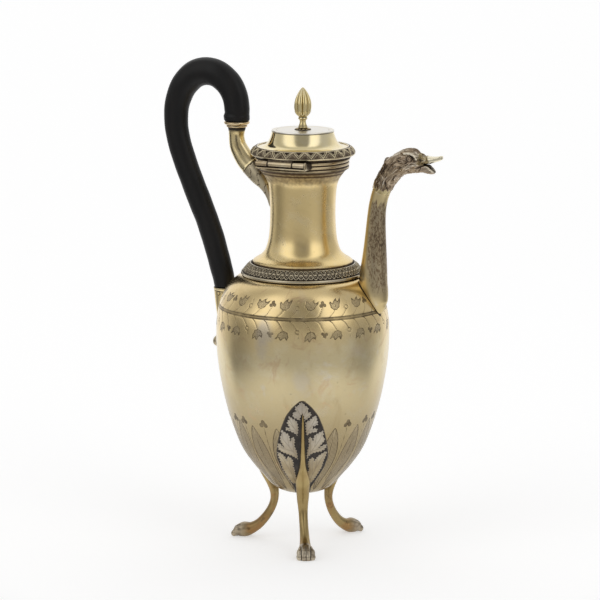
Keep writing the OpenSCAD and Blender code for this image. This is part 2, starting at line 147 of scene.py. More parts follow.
# ------------------------------------------------------------------ node graph helper
class Graph:
    """A short way to write a node tree."""

    def __init__(self, tree):
        self.t = tree

    def node(self, kind, **kw):
        n = self.t.nodes.new(kind)
        for k, v in kw.items():
            setattr(n, k, v)
        return n

    def put(self, sock, v):
        if isinstance(v, bpy.types.NodeSocket):
            self.t.links.new(v, sock)
        elif isinstance(v, (tuple, list)) and sock.type == "RGBA" and len(v) == 3:
            sock.default_value = (*v, 1)
        else:
            sock.default_value = v

    def math(self, op, a, b=None, c=None, clamp=False):
        n = self.node("ShaderNodeMath", operation=op, use_clamp=clamp)
        for i, v in enumerate((a, b, c)):
            if v is not None:
                self.put(n.inputs[i], v)
        return n.outputs[0]

    def add(self, a, b): return self.math("ADD", a, b)
    def sub(self, a, b): return self.math("SUBTRACT", a, b)
    def mul(self, a, b): return self.math("MULTIPLY", a, b)
    def madd(self, a, b, c): return self.math("MULTIPLY_ADD", a, b, c)
    def clamp(self, a): return self.math("ADD", a, 0.0, clamp=True)

    def split(self, v):
        n = self.node("ShaderNodeSeparateXYZ")
        self.put(n.inputs[0], v)
        return n.outputs[0], n.outputs[1], n.outputs[2]

    def step(self, v, lo, hi, a=0.0, b=1.0):
        """smooth step of v from lo to hi, giving a to b"""
        n = self.node("ShaderNodeMapRange", interpolation_type="SMOOTHSTEP")
        self.put(n.inputs["Value"], v)
        for k, x in (("From Min", lo), ("From Max", hi), ("To Min", a), ("To Max", b)):
            self.put(n.inputs[k], x)
        return n.outputs[0]

    def attr(self, name):
        return self.node("ShaderNodeAttribute", attribute_name=name).outputs["Fac"]

    def coords(self):
        return self.node("ShaderNodeTexCoord").outputs["Object"]

    def scaled(self, v, s):
        n = self.node("ShaderNodeMapping")
        self.put(n.inputs["Vector"], v)
        n.inputs["Scale"].default_value = s if isinstance(s, (tuple, list)) else (s, s, s)
        return n.outputs[0]

    def noise(self, v, scale, detail=3.0, rough=0.55, dist=0.0, squeeze=None):
        if squeeze:
            v = self.scaled(v, squeeze)
        n = self.node("ShaderNodeTexNoise")
        self.put(n.inputs["Vector"], v)
        n.inputs["Scale"].default_value = scale
        n.inputs["Detail"].default_value = detail
        n.inputs["Roughness"].default_value = rough
        n.inputs["Distortion"].default_value = dist
        return n.outputs[0]

    def voronoi(self, v, scale, feature="F1", out="Distance", rand=1.0):
        n = self.node("ShaderNodeTexVoronoi", feature=feature)
        self.put(n.inputs["Vector"], v)
        n.inputs["Scale"].default_value = scale
        n.inputs["Randomness"].default_value = rand
        return n.outputs[out]

    def mix(self, f, a, b):
        n = self.node("ShaderNodeMix", data_type="RGBA")
        self.put(n.inputs[0], f)
        self.put(n.inputs[6], a)
        self.put(n.inputs[7], b)
        return n.outputs[2]

    def lerp(self, f, a, b):
        n = self.node("ShaderNodeMix", data_type="FLOAT")
        self.put(n.inputs[0], f)
        self.put(n.inputs[2], a)
        self.put(n.inputs[3], b)
        return n.outputs[0]

    def curve(self, v, pts):
        n = self.node("ShaderNodeFloatCurve")
        self.put(n.inputs["Value"], v)
        c = n.mapping.curves[0]
        n.mapping.use_clip = False
        while len(c.points) < len(pts):
            c.points.new(0.5, 0.5)
        for p, (x, y) in zip(c.points, pts):
            p.location = (x, y)
            p.handle_type = "AUTO_CLAMPED"
        n.mapping.update()
        return n.outputs[0]

    def bump(self, height, dist, strength=1.0, normal=None):
        n = self.node("ShaderNodeBump")
        n.inputs["Strength"].default_value = strength
        n.inputs["Distance"].default_value = dist
        self.put(n.inputs["Height"], height)
        if normal is not None:
            self.put(n.inputs["Normal"], normal)
        return n.outputs[0]


# ------------------------------------------------------------------ curves and meshes
def cr(a, b, c, d, t):
    return 0.5 * ((2 * b) + (c - a) * t + (2 * a - 5 * b + 4 * c - d) * t * t + (3 * b - a - 3 * c + d) * t ** 3)


def spline(p, n):
    """the same curve through stations as the construction uses"""
    p = np.asarray(p, float)
    g = lambda i: p[max(0, min(len(p) - 1, i))]
    out = [cr(g(i - 1), p[i], p[i + 1], g(i + 2), k / n) for i in range(len(p) - 1) for k in range(n)]
    return np.array(out + [p[-1]])


def resample(p, n=None, step=None, density=None):
    """a polyline walked at even steps, or at steps that follow density(s) where s runs 0..1"""
    p = np.asarray(p, float)
    d = np.r_[0, np.cumsum(np.linalg.norm(np.diff(p[:, :2], axis=0), axis=1))]
    if n is None:
        n = int(round(d[-1] / step)) + 1
    s = np.linspace(0, 1, n)
    if density is not None:
        f = np.linspace(0, 1, 2001)
        c = np.r_[0, np.cumsum([density(x) for x in (f[1:] + f[:-1]) / 2])]
        s = np.interp(s, c / c[-1], f)
    return np.stack([np.interp(s * d[-1], d, p[:, k]) for k in range(p.shape[1])], 1)


def rounded(p, r=0.15, n=3, closed=False):
    """a polyline with its corners rounded off by about r"""
    p = np.asarray(p, float)
    out = []
    m = len(p)
    for i in range(m):
        if not closed and i in (0, m - 1):
            out.append(p[i])
            continue
        a, b, c = p[i - 1], p[i], p[(i + 1) % m]
        la, lc = np.linalg.norm(a - b), np.linalg.norm(c - b)
        if la < 1e-6 or lc < 1e-6:
            continue
        k = min(r, la * 0.45, lc * 0.45)
        s, e = b + (a - b) / la * k, b + (c - b) / lc * k
        for t in np.linspace(0, 1, n + 1):
            out.append((1 - t) ** 2 * s + 2 * t * (1 - t) * b + t * t * e)
    return np.array(out)


def smooth(x, lo, hi):
    t = np.clip((x - lo) / (hi - lo), 0, 1)
    return t * t * (3 - 2 * t)


def vnoise(x, y, z=0.0, seed=0.0):
    """smooth value noise in three dimensions, 0..1"""
    x, y, z = np.broadcast_arrays(np.asarray(x, float), np.asarray(y, float), np.asarray(z, float))
    i, j, k = np.floor(x), np.floor(y), np.floor(z)
    f, g, h = x - i, y - j, z - k
    f, g, h = f * f * (3 - 2 * f), g * g * (3 - 2 * g), h * h * (3 - 2 * h)
    out = np.zeros(x.shape)
    for a in (0, 1):
        for b in (0, 1):
            for c in (0, 1):
                v = np.sin((i + a) * 127.1 + (j + b) * 311.7 + (k + c) * 74.7 + seed * 53.3) * 43758.5453
                out += (v - np.floor(v)) * (f if a else 1 - f) * (g if b else 1 - g) * (h if c else 1 - h)
    return out


def bell(x, w):
    return np.exp(-(x / w) ** 2)


def make_mesh(name, V, F, attrs=None, mats=(), smooth_on=True):
    """V in mm, F a list of arrays of faces with 3 or 4 corners each"""
    V = np.asarray(V, np.float32) * MM
    me = bpy.data.meshes.new(name)
    F = [np.asarray(f, np.int32) for f in (F if isinstance(F, (list, tuple)) else [F]) if len(f)]
    nl = sum(f.size for f in F)
    me.vertices.add(len(V))
    me.vertices.foreach_set("co", V.ravel())
    me.loops.add(nl)
    me.loops.foreach_set("vertex_index", np.concatenate([f.ravel() for f in F]))
    sizes = np.concatenate([np.full(len(f), f.shape[1], np.int32) for f in F])
    me.polygons.add(len(sizes))
    me.polygons.foreach_set("loop_start", np.r_[0, np.cumsum(sizes)[:-1]].astype(np.int32))
    me.polygons.foreach_set("use_smooth", np.full(len(sizes), smooth_on))
    me.update(calc_edges=True)
    me.validate()
    for k, v in (attrs or {}).items():
        a = me.attributes.new(k, "FLOAT", "POINT")
        a.data.foreach_set("value", np.asarray(v, np.float32).ravel())
    for m in mats:
        me.materials.append(m)
    ob = bpy.data.objects.new(name, me)
    bpy.context.scene.collection.objects.link(ob)
    return ob


def volume(V, F):
    t = 0.0
    for f in F:
        for k in range(1, f.shape[1] - 1):
            a, b, c = V[f[:, 0]], V[f[:, k]], V[f[:, k + 1]]
            t += np.einsum("ij,ij->i", a, np.cross(b, c)).sum()
    return t / 6


def outward(V, F):
    return F if volume(np.asarray(V, float), F) > 0 else [f[:, ::-1] for f in F]


def skin(rings, closed=False, caps=(True, True)):
    """Faces over rings of points. Rings next to each other have the same count, or counts with a whole ratio.
    A ring of one point closes an end; caps=True closes the end with a fan to its middle."""
    V, F4, F3, start = [], [], [], []
    n0 = 0
    rings = [np.asarray(r, float) for r in rings]
    for r in rings:
        start.append(n0)
        V.append(r)
        n0 += len(r)
    pairs = [(i, i + 1) for i in range(len(rings) - 1)] + ([(len(rings) - 1, 0)] if closed else [])
    for i, j in pairs:
        a, b, na, nb = start[i], start[j], len(rings[i]), len(rings[j])
        if na == nb:
            q = np.arange(na)
            F4.append(np.stack([a + q, b + q, b + (q + 1) % nb, a + (q + 1) % na], 1))
        elif nb == 1:
            q = np.arange(na)
            F3.append(np.stack([a + q, np.full(na, b), a + (q + 1) % na], 1))
        elif na == 1:
            q = np.arange(nb)
            F3.append(np.stack([np.full(nb, a), b + q, b + (q + 1) % nb], 1))
        elif na > nb:
            k = na // nb
            q = np.arange(na)
            F3.append(np.stack([a + q, b + q // k, a + (q + 1) % na], 1))
            q = np.arange(nb)
            F3.append(np.stack([b + q, b + (q + 1) % nb, a + (q + 1) * k % na], 1))
        else:
            k = nb // na
            q = np.arange(nb)
            F3.append(np.stack([a + q // k, b + q, b + (q + 1) % nb], 1))
            q = np.arange(na)
            F3.append(np.stack([a + q, b + (q + 1) * k % nb, a + (q + 1) % na], 1))
    if not closed:
        for end, want in ((0, caps[0]), (len(rings) - 1, caps[1])):
            if want and len(rings[end]) > 1:
                m = len(rings[end])
                V.append(rings[end].mean(0, keepdims=True))
                q = np.arange(m)
                s = start[end]
                f = np.stack([s + q, np.full(m, n0), s + (q + 1) % m], 1)
                F3.append(f if end else f[:, ::-1])
                n0 += 1
    V = np.concatenate(V)
    F = [np.concatenate(x) for x in (F4, F3) if x]
    return V, outward(V, F)


def turn(prof, n):
    """rings of a turned profile of (r, z); r = 0 gives one point"""
    q = np.arange(n) / n * TAU
    c, s = np.cos(q), np.sin(q)
    return [np.stack([r * c, r * s, np.full(n, z)], 1) if r > 1e-6 else np.array([[0, 0, z]]) for r, z in prof]


def turned(name, prof, n=160, mats=(), attrs=None, closed=False):
    V, F = skin(turn(prof, n), closed=closed)
    return make_mesh(name, V, F, attrs, mats)


def normals2(p):
    """unit normals to the right of a (r, z) line's run"""
    d = np.gradient(p, axis=0)
    d /= np.linalg.norm(d, axis=1, keepdims=True) + 1e-12
    return np.stack([d[:, 1], -d[:, 0]], 1)


def loft(st, m, rings_per=6, wob=None):
    """rings across a path in the XZ plane; a station is (x, z, half in the plane, half across)"""
    s = spline(st, rings_per)
    return loft_on(s, m), s


def loft_on(s, m, shape=None):
    d = np.gradient(s[:, :2], axis=0)
    d /= np.linalg.norm(d, axis=1, keepdims=True)
    q = np.arange(m) / m * TAU
    out = []
    for i in range(len(s)):
        a, b = (np.cos(q), np.sin(q)) if shape is None else shape(i, q)
        out.append(np.stack([s[i, 0] + s[i, 2] * a * d[i, 1], s[i, 3] * b, s[i, 1] - s[i, 2] * a * d[i, 0]], 1))
    return out


def piece(ob, body, nodes=()):
    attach(ob, body)
    if nodes:
        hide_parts(*nodes)
    return ob


# ------------------------------------------------------------------ surface nets for carved and cast shapes
def mesh_of(field, lo, hi, h, attrs=None):
    """Closed quads round field < 0 on a grid of pitch h; field takes (n, 3) points."""
    lo, hi = np.asarray(lo, float), np.asarray(hi, float)
    n = np.ceil((hi - lo) / h).astype(int) + 1
    ax = [lo[k] + h * np.arange(n[k]) for k in range(3)]
    G = np.empty(n, np.float32)
    for i in range(n[0]):
        y, z = np.meshgrid(ax[1], ax[2], indexing="ij")
        p = np.stack([np.full(y.size, ax[0][i]), y.ravel(), z.ravel()], 1)
        G[i] = field(p).reshape(n[1], n[2])
    return nets(G, lo, h)


def nets(G, lo, h):
    n = np.array(G.shape)
    inside = G < 0
    c = np.zeros(n - 1, bool)
    cnt = np.zeros(n - 1, np.int8)
    for dx in (0, 1):
        for dy in (0, 1):
            for dz in (0, 1):
                cnt += inside[dx:n[0] - 1 + dx, dy:n[1] - 1 + dy, dz:n[2] - 1 + dz]
    c = (cnt > 0) & (cnt < 8)
    idx = np.full(n - 1, -1, np.int64)
    cells = np.argwhere(c)
    idx[c] = np.arange(len(cells))
    acc = np.zeros((len(cells), 3))
    num = np.zeros(len(cells))
    corners = [(dx, dy, dz) for dx in (0, 1) for dy in (0, 1) for dz in (0, 1)]
    for a in corners:
        for k in range(3):
            if a[k]:
                continue
            b = list(a)
            b[k] = 1
            ga = G[cells[:, 0] + a[0], cells[:, 1] + a[1], cells[:, 2] + a[2]]
            gb = G[cells[:, 0] + b[0], cells[:, 1] + b[1], cells[:, 2] + b[2]]
            x = (ga < 0) != (gb < 0)
            t = np.where(x, ga / np.where(x, ga - gb, 1), 0)
            p = np.tile(np.array(a, float), (len(cells), 1))
            p[:, k] = t
            acc += p * x[:, None]
            num += x
    V = lo + h * (cells + acc / num[:, None])
    F = []
    for k in range(3):
        i, j = (k + 1) % 3, (k + 2) % 3
        sl_a = [slice(None)] * 3
        sl_b = [slice(None)] * 3
        sl_a[k], sl_b[k] = slice(0, n[k] - 1), slice(1, n[k])
        cross = inside[tuple(sl_a)] != inside[tuple(sl_b)]
        for m_ in (i, j):
            keep = [slice(None)] * 3
            keep[m_] = slice(1, n[m_] - 1)
            full = np.zeros_like(cross)
            full[tuple(keep)] = cross[tuple(keep)]
            cross = full
        e = np.argwhere(cross)
        if not len(e):
            continue
        q = []
        for da, db in ((-1, -1), (0, -1), (0, 0), (-1, 0)):
            o = e.copy()
            o[:, i] += da
            o[:, j] += db
            q.append(idx[o[:, 0], o[:, 1], o[:, 2]])
        q = np.stack(q, 1)
        flip = inside[tuple(e.T)]
        q = np.where(flip[:, None], q, q[:, ::-1])
        F.append(q)
    return V, outward(V, [np.concatenate(F)])


def relax(V, F, n=2, lam=0.5, hold=None):
    """a few rounds of averaging with neighbours, without shrinking"""
    E = np.concatenate([np.stack([f[:, i], f[:, (i + 1) % f.shape[1]]], 1) for f in F for i in range(f.shape[1])])
    deg = np.zeros(len(V))
    np.add.at(deg, E[:, 0], 1)
    V = V.copy()
    for k in range(2 * n):
        s = np.zeros_like(V)
        for c in range(3):
            s[:, c] = np.bincount(E[:, 0], V[E[:, 1], c], len(V))
        d = s / deg[:, None] - V
        V += d * (lam if k % 2 == 0 else -lam * 1.03) * (1 if hold is None else hold[:, None])
    return V


def smin(a, b, k):
    h = np.clip(0.5 + 0.5 * (b - a) / k, 0, 1)
    return b * (1 - h) + a * h - k * h * (1 - h)


def smax(a, b, k):
    return -smin(-a, -b, k)


def ellip(p, c, r, ang=0.0, yaw=0.0):
    """roughly the distance to an ellipsoid, turned by ang about Y and yaw about Z"""
    q = p - np.asarray(c, float)
    if yaw:
        ca, sa = math.cos(yaw), math.sin(yaw)
        q = np.stack([q[:, 0] * ca + q[:, 1] * sa, -q[:, 0] * sa + q[:, 1] * ca, q[:, 2]], 1)
    if ang:
        ca, sa = math.cos(ang), math.sin(ang)
        q = np.stack([q[:, 0] * ca + q[:, 2] * sa, q[:, 1], -q[:, 0] * sa + q[:, 2] * ca], 1)
    r = np.asarray(r, float)
    k0 = np.linalg.norm(q / r, axis=1)
    k1 = np.linalg.norm(q / (r * r), axis=1)
    return k0 * (k0 - 1) / np.maximum(k1, 1e-9)


def seg2(px, py, a, b):
    """distance in the plane to a segment, and how far along it"""
    ax, ay, bx, by = a[0], a[1], b[0], b[1]
    dx, dy = bx - ax, by - ay
    t = np.clip(((px - ax) * dx + (py - ay) * dy) / (dx * dx + dy * dy + 1e-12), 0, 1)
    return np.hypot(px - ax - t * dx, py - ay - t * dy), t


def line2(px, py, pts):
    """distance in the plane to a polyline, and how far along it (0..1)"""
    best = np.full(np.shape(px), 1e9)
    along = np.zeros(np.shape(px))
    pts = np.asarray(pts, float)
    L = np.r_[0, np.cumsum(np.linalg.norm(np.diff(pts[:, :2], axis=0), axis=1))]
    for i in range(len(pts) - 1):
        d, t = seg2(px, py, pts[i], pts[i + 1])
        m = d < best
        best = np.where(m, d, best)
        along = np.where(m, (L[i] + t * (L[i + 1] - L[i])) / L[-1], along)
    return best, along


def poly2(px, py, pts):
    """signed distance in the plane to a closed polygon, negative inside"""
    pts = np.asarray(pts, float)
    best = np.full(np.shape(px), 1e9)
    inside = np.zeros(np.shape(px), bool)
    m = len(pts)
    for i in range(m):
        a, b = pts[i], pts[(i + 1) % m]
        d, _ = seg2(px, py, a, b)
        best = np.minimum(best, d)
        c = ((a[1] <= py) & (b[1] > py)) | ((b[1] <= py) & (a[1] > py))
        with np.errstate(divide="ignore", invalid="ignore"):
            x = a[0] + (py - a[1]) / (b[1] - a[1] + 1e-12) * (b[0] - a[0])
        inside ^= c & (px < x)
    return np.where(inside, -best, best)


# ------------------------------------------------------------------ materials
def new_material(name):
    m = bpy.data.materials.new(name)
    m.use_nodes = True
    m.node_tree.nodes.clear()
    g = Graph(m.node_tree)
    b = g.node("ShaderNodeBsdfPrincipled")
    o = g.node("ShaderNodeOutputMaterial")
    m.node_tree.links.new(b.outputs[0], o.inputs["Surface"])
    return m, g, b


GOLD = (0.86, 0.755, 0.47)
GOLD_DEEP = (0.80, 0.62, 0.30)
GOLD_PALE = (0.88, 0.81, 0.60)
SILVER = (0.80, 0.77, 0.71)
PINK = (0.80, 0.66, 0.53)
GREY = (0.56, 0.53, 0.49)
SOOT = (0.035, 0.027, 0.018)
BROWN = (0.22, 0.135, 0.060)


def gilt(name, base=GOLD, rough=0.26, cloud=0.5, wear=0.25, marks=0.4, rec=False, engraved=False, tarnish=0.0, edge=False, metal=1.0, deep=SOOT, low=False):
    """Gilded silver: a cloudy gold, rubbed through to silver here and there, with small marks and fine scratches."""
    m, g, b = new_material(name)
    co = g.coords()
    big = g.noise(co, 22, 3, 0.55, squeeze=(1, 1, 0.6))
    mid = g.noise(co, 85, 4, 0.6)
    fine = g.noise(co, 900, 3, 0.6)
    col = g.mix(g.step(big, 0.38, 0.68), GOLD_DEEP if base is GOLD else base, base)
    col = g.mix(g.mul(g.step(mid, 0.45, 0.75), cloud), col, GOLD_PALE)
    # pinkish and silver places where the gilding is rubbed
    rub = g.noise(co, 38, 5, 0.62, 0.6)
    rubbed = g.mul(g.step(rub, 0.56, 0.70), wear)
    col = g.mix(rubbed, col, SILVER)
    pk = g.noise(co, 55, 4, 0.6, 0.3)
    col = g.mix(g.mul(g.step(pk, 0.58, 0.72), wear * 0.7), col, PINK)
    # small dark specks
    sp = g.noise(co, 420, 2, 0.5)
    specks = g.mul(g.step(sp, 0.70, 0.78), marks)
    col = g.mix(specks, col, BROWN)
    if tarnish:
        tn = g.noise(co, 60, 5, 0.65, 0.8)
        col = g.mix(g.mul(g.step(tn, 0.48, 0.66), tarnish), col, BROWN)
    ro = g.madd(mid, 0.16, rough - 0.08)
    ro = g.madd(rubbed, 0.08, ro)
    height = g.mul(fine, 0.15)
    scr = g.noise(co, 240, 2, 0.5, squeeze=(1, 1, 9))
    height = g.madd(g.step(scr, 0.62, 0.70), -0.25 * marks, height)
    scr2 = g.noise(g.scaled(co, (7, 0.7, 0.7)), 260, 2, 0.5)
    height = g.madd(g.step(scr2, 0.64, 0.72), -0.2 * marks, height)
    if low:
        # warmer on the shoulder; towards the foot, painted shade makes the gilding darker, browner and rougher
        z = g.split(co)[2]
        warm = g.step(g.madd(big, 0.03, z), 0.148, 0.180)
        col = g.mix(g.mul(warm, 0.72), col, (0.84, 0.63, 0.30))
        stain = g.noise(g.scaled(co, (1.0, 1.0, 0.45)), 46, 5, 0.65, 0.7)
        col = g.mix(g.mul(g.step(stain, 0.54, 0.74), 0.40), col, (0.50, 0.36, 0.17))
        # painted shade, growing towards the foot
        foot_shade = g.step(z, 0.150, 0.070, 0.0, 1.0)
        col = g.mix(g.mul(foot_shade, 0.85), col, (0.265, 0.20, 0.105))
        ro = g.madd(foot_shade, 0.06, ro)
        red = g.noise(co, 64, 5, 0.7, 1.2)
        col = g.mix(g.mul(g.step(red, 0.55, 0.70), 0.42), col, (0.58, 0.37, 0.21))
        # two places rubbed to grey silver
        xx, yy, zz = g.split(co)
        for cx, cy, cz, rr, amt in ((-0.002, -0.058, 0.1530, 0.0085, 0.62), (0.0245, -0.0510, 0.1215, 0.0065, 0.40)):
            d2 = g.math("SQRT", g.add(g.add(g.math("POWER", g.sub(xx, cx), 2.0), g.math("POWER", g.sub(yy, cy), 2.0)), g.math("POWER", g.mul(g.sub(zz, cz), 0.52), 2.0)))
            blot = g.step(g.madd(g.sub(rub, 0.5), 0.020, d2), rr, rr * 0.25, 0.0, amt)
            col = g.mix(blot, col, (0.60, 0.545, 0.47))
    if edge:
        e = g.attr("edge")
        col = g.mix(g.mul(e, 0.75), col, SILVER)
    if rec:
        r = g.attr("rec")
        rn = g.madd(g.sub(g.noise(co, 500, 3, 0.6), 0.5), 0.5, r)
        dark = g.step(rn, 0.25, 0.95)
        col = g.mix(dark, col, deep)
        ro = g.lerp(dark, ro, 0.62)
        b.inputs["Metallic"].default_value = metal
        g.put(b.inputs["Metallic"], g.lerp(dark, metal, metal * 0.45))
    else:
        b.inputs["Metallic"].default_value = metal
    if engraved:
        leaf, hat, eng = g.attr("leaf"), g.attr("hat"), g.attr("eng")
        inside = g.step(leaf, 0.05, -0.25)
        h = g.math("ABSOLUTE", g.math("SINE", hat))
        hatch = g.mul(g.step(h, 0.74, 0.34), inside)
        outline = g.step(g.math("ABSOLUTE", g.add(leaf, 0.1)), 0.42, 0.12)
        stroke = g.step(eng, 0.12, -0.12)
        cut = g.math("MAXIMUM", g.math("MAXIMUM", g.mul(hatch, 0.85), outline), stroke)
        worn = g.step(g.noise(co, 150, 3, 0.6), 0.25, 0.6, 0.55, 1.0)
        col = g.mix(g.mul(inside, 0.36), col, (0.36, 0.30, 0.21))
        col = g.mix(g.mul(g.mul(cut, worn), 0.86), col, (0.075, 0.052, 0.030))
        seam = g.step(g.attr("seam"), 0.62, 0.20)
        col = g.mix(seam, col, (0.030, 0.020, 0.012))
        ro = g.madd(cut, 0.2, ro)
        height = g.madd(cut, -1.2, height)
    g.put(b.inputs["Base Color"], col)
    g.put(b.inputs["Roughness"], g.clamp(ro))
    g.put(b.inputs["Normal"], g.bump(height, 0.00006, 0.6))
    return m


def relief(name, hi=SILVER, lo=(0.020, 0.014, 0.009), gold=0.35, rough=0.34, grain=0.5):
    """Chased or cast ornament: worn bright tops and black recesses; reads the piece's rec attribute, 0 on top and 1 in the recess."""
    m, g, b = new_material(name)
    co = g.coords()
    r = g.attr("rec")
    n = g.noise(co, 260, 4, 0.6)
    n2 = g.noise(co, 1100, 3, 0.6)
    gd = g.mul(g.step(g.noise(co, 60, 3, 0.6), 0.35, 0.65), gold)
    col = g.mix(gd, hi, GOLD)
    dirty = g.madd(g.sub(n, 0.5), 0.45, r)
    dirty = g.madd(g.sub(n2, 0.5), 0.25, dirty)
    col = g.mix(g.step(dirty, 0.18, 0.52), col, (0.23, 0.175, 0.115))
    dark = g.step(dirty, 0.38, 0.80)
    b.inputs["Specular IOR Level"].default_value = 0.22
    col = g.mix(dark, col, lo)
    g.put(b.inputs["Base Color"], col)
    g.put(b.inputs["Metallic"], g.lerp(dark, 1.0, 0.2))
    g.put(b.inputs["Roughness"], g.clamp(g.add(g.lerp(dark, rough, 0.65), g.mul(g.sub(n, 0.5), 0.2))))
    g.put(b.inputs["Normal"], g.bump(g.add(g.mul(n2, 0.5), g.mul(n, 0.5)), 0.00012, grain))
    return m


def ebony(name):
    m, g, b = new_material(name)
    co = g.coords()
    along = g.noise(co, 130, 5, 0.62, 0.4, squeeze=(1, 1, 0.12))
    pores = g.noise(co, 900, 3, 0.55, squeeze=(1, 1, 0.10))
    cloud = g.noise(co, 26, 3, 0.5)
    col = g.mix(g.step(along, 0.42, 0.72), (0.0032, 0.0028, 0.0027), (0.0075, 0.0060, 0.0052))
    col = g.mix(g.mul(g.step(cloud, 0.60, 0.80), 0.35), col, (0.018, 0.011, 0.007))
    g.put(b.inputs["Base Color"], col)
    b.inputs["Specular IOR Level"].default_value = 0.30
    b.inputs["Coat Weight"].default_value = 0.06
    b.inputs["Coat Roughness"].default_value = 0.35
    g.put(b.inputs["Roughness"], g.madd(along, 0.22, 0.36))
    h = g.madd(g.step(pores, 0.60, 0.72), -0.6, g.mul(along, 0.5))
    g.put(b.inputs["Normal"], g.bump(h, 0.00010, 0.35))
    return m


def head_metal(name, tone=(0.27, 0.20, 0.138), lo=(0.026, 0.016, 0.011), gold_col=(0.36, 0.29, 0.135), rough=0.26):
    """The bird: brown worn silver in the feathers, gold on the swelling and the bill, and painted highlights; reads rec
    and gold, and the hi attribute for the painted highlights.
    """
    m, g, b = new_material(name)
    co = g.coords()
    r, au = g.attr("rec"), g.attr("gold")
    n = g.noise(co, 180, 4, 0.6)
    n2 = g.noise(co, 900, 3, 0.6)
    base = g.mix(g.step(g.noise(co, 70, 3, 0.6), 0.35, 0.65), tone, (0.40, 0.315, 0.23))
    gg = g.mix(g.step(n, 0.4, 0.7), gold_col, (0.50, 0.42, 0.23))
    # the pale gilt bill, with part of the painted brow highlight
    gg = g.mix(g.attr("bill"), gg, (0.86, 0.79, 0.60))
    base = g.mix(au, base, gg)
    dirty = g.madd(g.sub(n, 0.5), 0.45, r)
    dirty = g.madd(g.sub(n2, 0.5), 0.2, dirty)
    base = g.mix(g.step(dirty, 0.12, 0.5), base, g.mix(au, (0.19, 0.135, 0.088), (0.30, 0.225, 0.11)))
    dark = g.step(dirty, 0.45, 0.92)
    col = g.mix(dark, base, lo)
    col = g.mix(g.attr("collar"), col, g.mix(g.step(n, 0.35, 0.65), (0.50, 0.41, 0.21), (0.68, 0.57, 0.32)))
    # painted highlight: near-white where the hi attribute is high
    col = g.mix(g.mul(g.attr("hi"), g.step(n2, 0.25, 0.5, 0.55, 1.0)), col, (0.86, 0.78, 0.64))
    g.put(b.inputs["Base Color"], col)
    g.put(b.inputs["Metallic"], g.lerp(dark, 1.0, 0.5))
    g.put(b.inputs["Roughness"], g.clamp(g.lerp(dark, g.madd(n, 0.2, rough - 0.1), 0.6)))
    g.put(b.inputs["Normal"], g.bump(g.add(g.mul(n2, 0.5), g.mul(n, 0.5)), 0.00012, 0.4))
    return m


def spout_metal(name):
    """Gilt spout with punched feathering, browned down its front."""
    m, g, b = new_material(name)
    co = g.coords()
    r, au = g.attr("rec"), g.attr("gold")
    n = g.noise(co, 120, 4, 0.6)
    n2 = g.noise(co, 700, 3, 0.6)
    tex_ = g.attr("tex")
    base = g.mix(g.step(g.noise(co, 30, 3, 0.55, squeeze=(1, 1, 0.3)), 0.35, 0.65), (0.62, 0.49, 0.25), (0.76, 0.63, 0.36))
    base = g.mix(g.mul(g.step(n, 0.55, 0.75), 0.5), base, (0.70, 0.64, 0.52))
    base = g.mix(g.mul(tex_, 0.85), base, (0.40, 0.33, 0.23))
    base = g.mix(au, (0.36, 0.28, 0.20), base)
    # punch marks: short dark strokes that run with the spout
    tex = g.attr("tex")
    pk = g.noise(co, 1050, 3, 0.6, 0.3, squeeze=(1, 1, 0.42))
    pk2 = g.noise(co, 260, 4, 0.65, 0.5, squeeze=(1, 1, 0.30))
    marks = g.mul(g.mul(g.step(pk, 0.46, 0.58), g.step(pk2, 0.34, 0.62, 0.90, 1.0)), tex)
    dirty = g.madd(g.sub(n, 0.5), 0.5, r)
    dirty = g.madd(g.sub(n2, 0.5), 0.25, dirty)
    dirty = g.madd(marks, 0.44, dirty)
    col = g.mix(g.step(dirty, 0.16, 0.60), base, (0.27, 0.195, 0.115))
    dark = g.step(dirty, 0.50, 1.0)
    col = g.mix(dark, col, (0.06, 0.04, 0.025))
    g.put(b.inputs["Base Color"], col)
    g.put(b.inputs["Metallic"], g.lerp(dark, 1.0, 0.5))
    g.put(b.inputs["Roughness"], g.clamp(g.lerp(g.step(dirty, 0.2, 0.8), g.madd(n, 0.16, 0.24), 0.5)))
    g.put(b.inputs["Normal"], g.bump(g.add(g.mul(n2, 0.5), g.mul(n, 0.5)), 0.0001, 0.5))
    return m


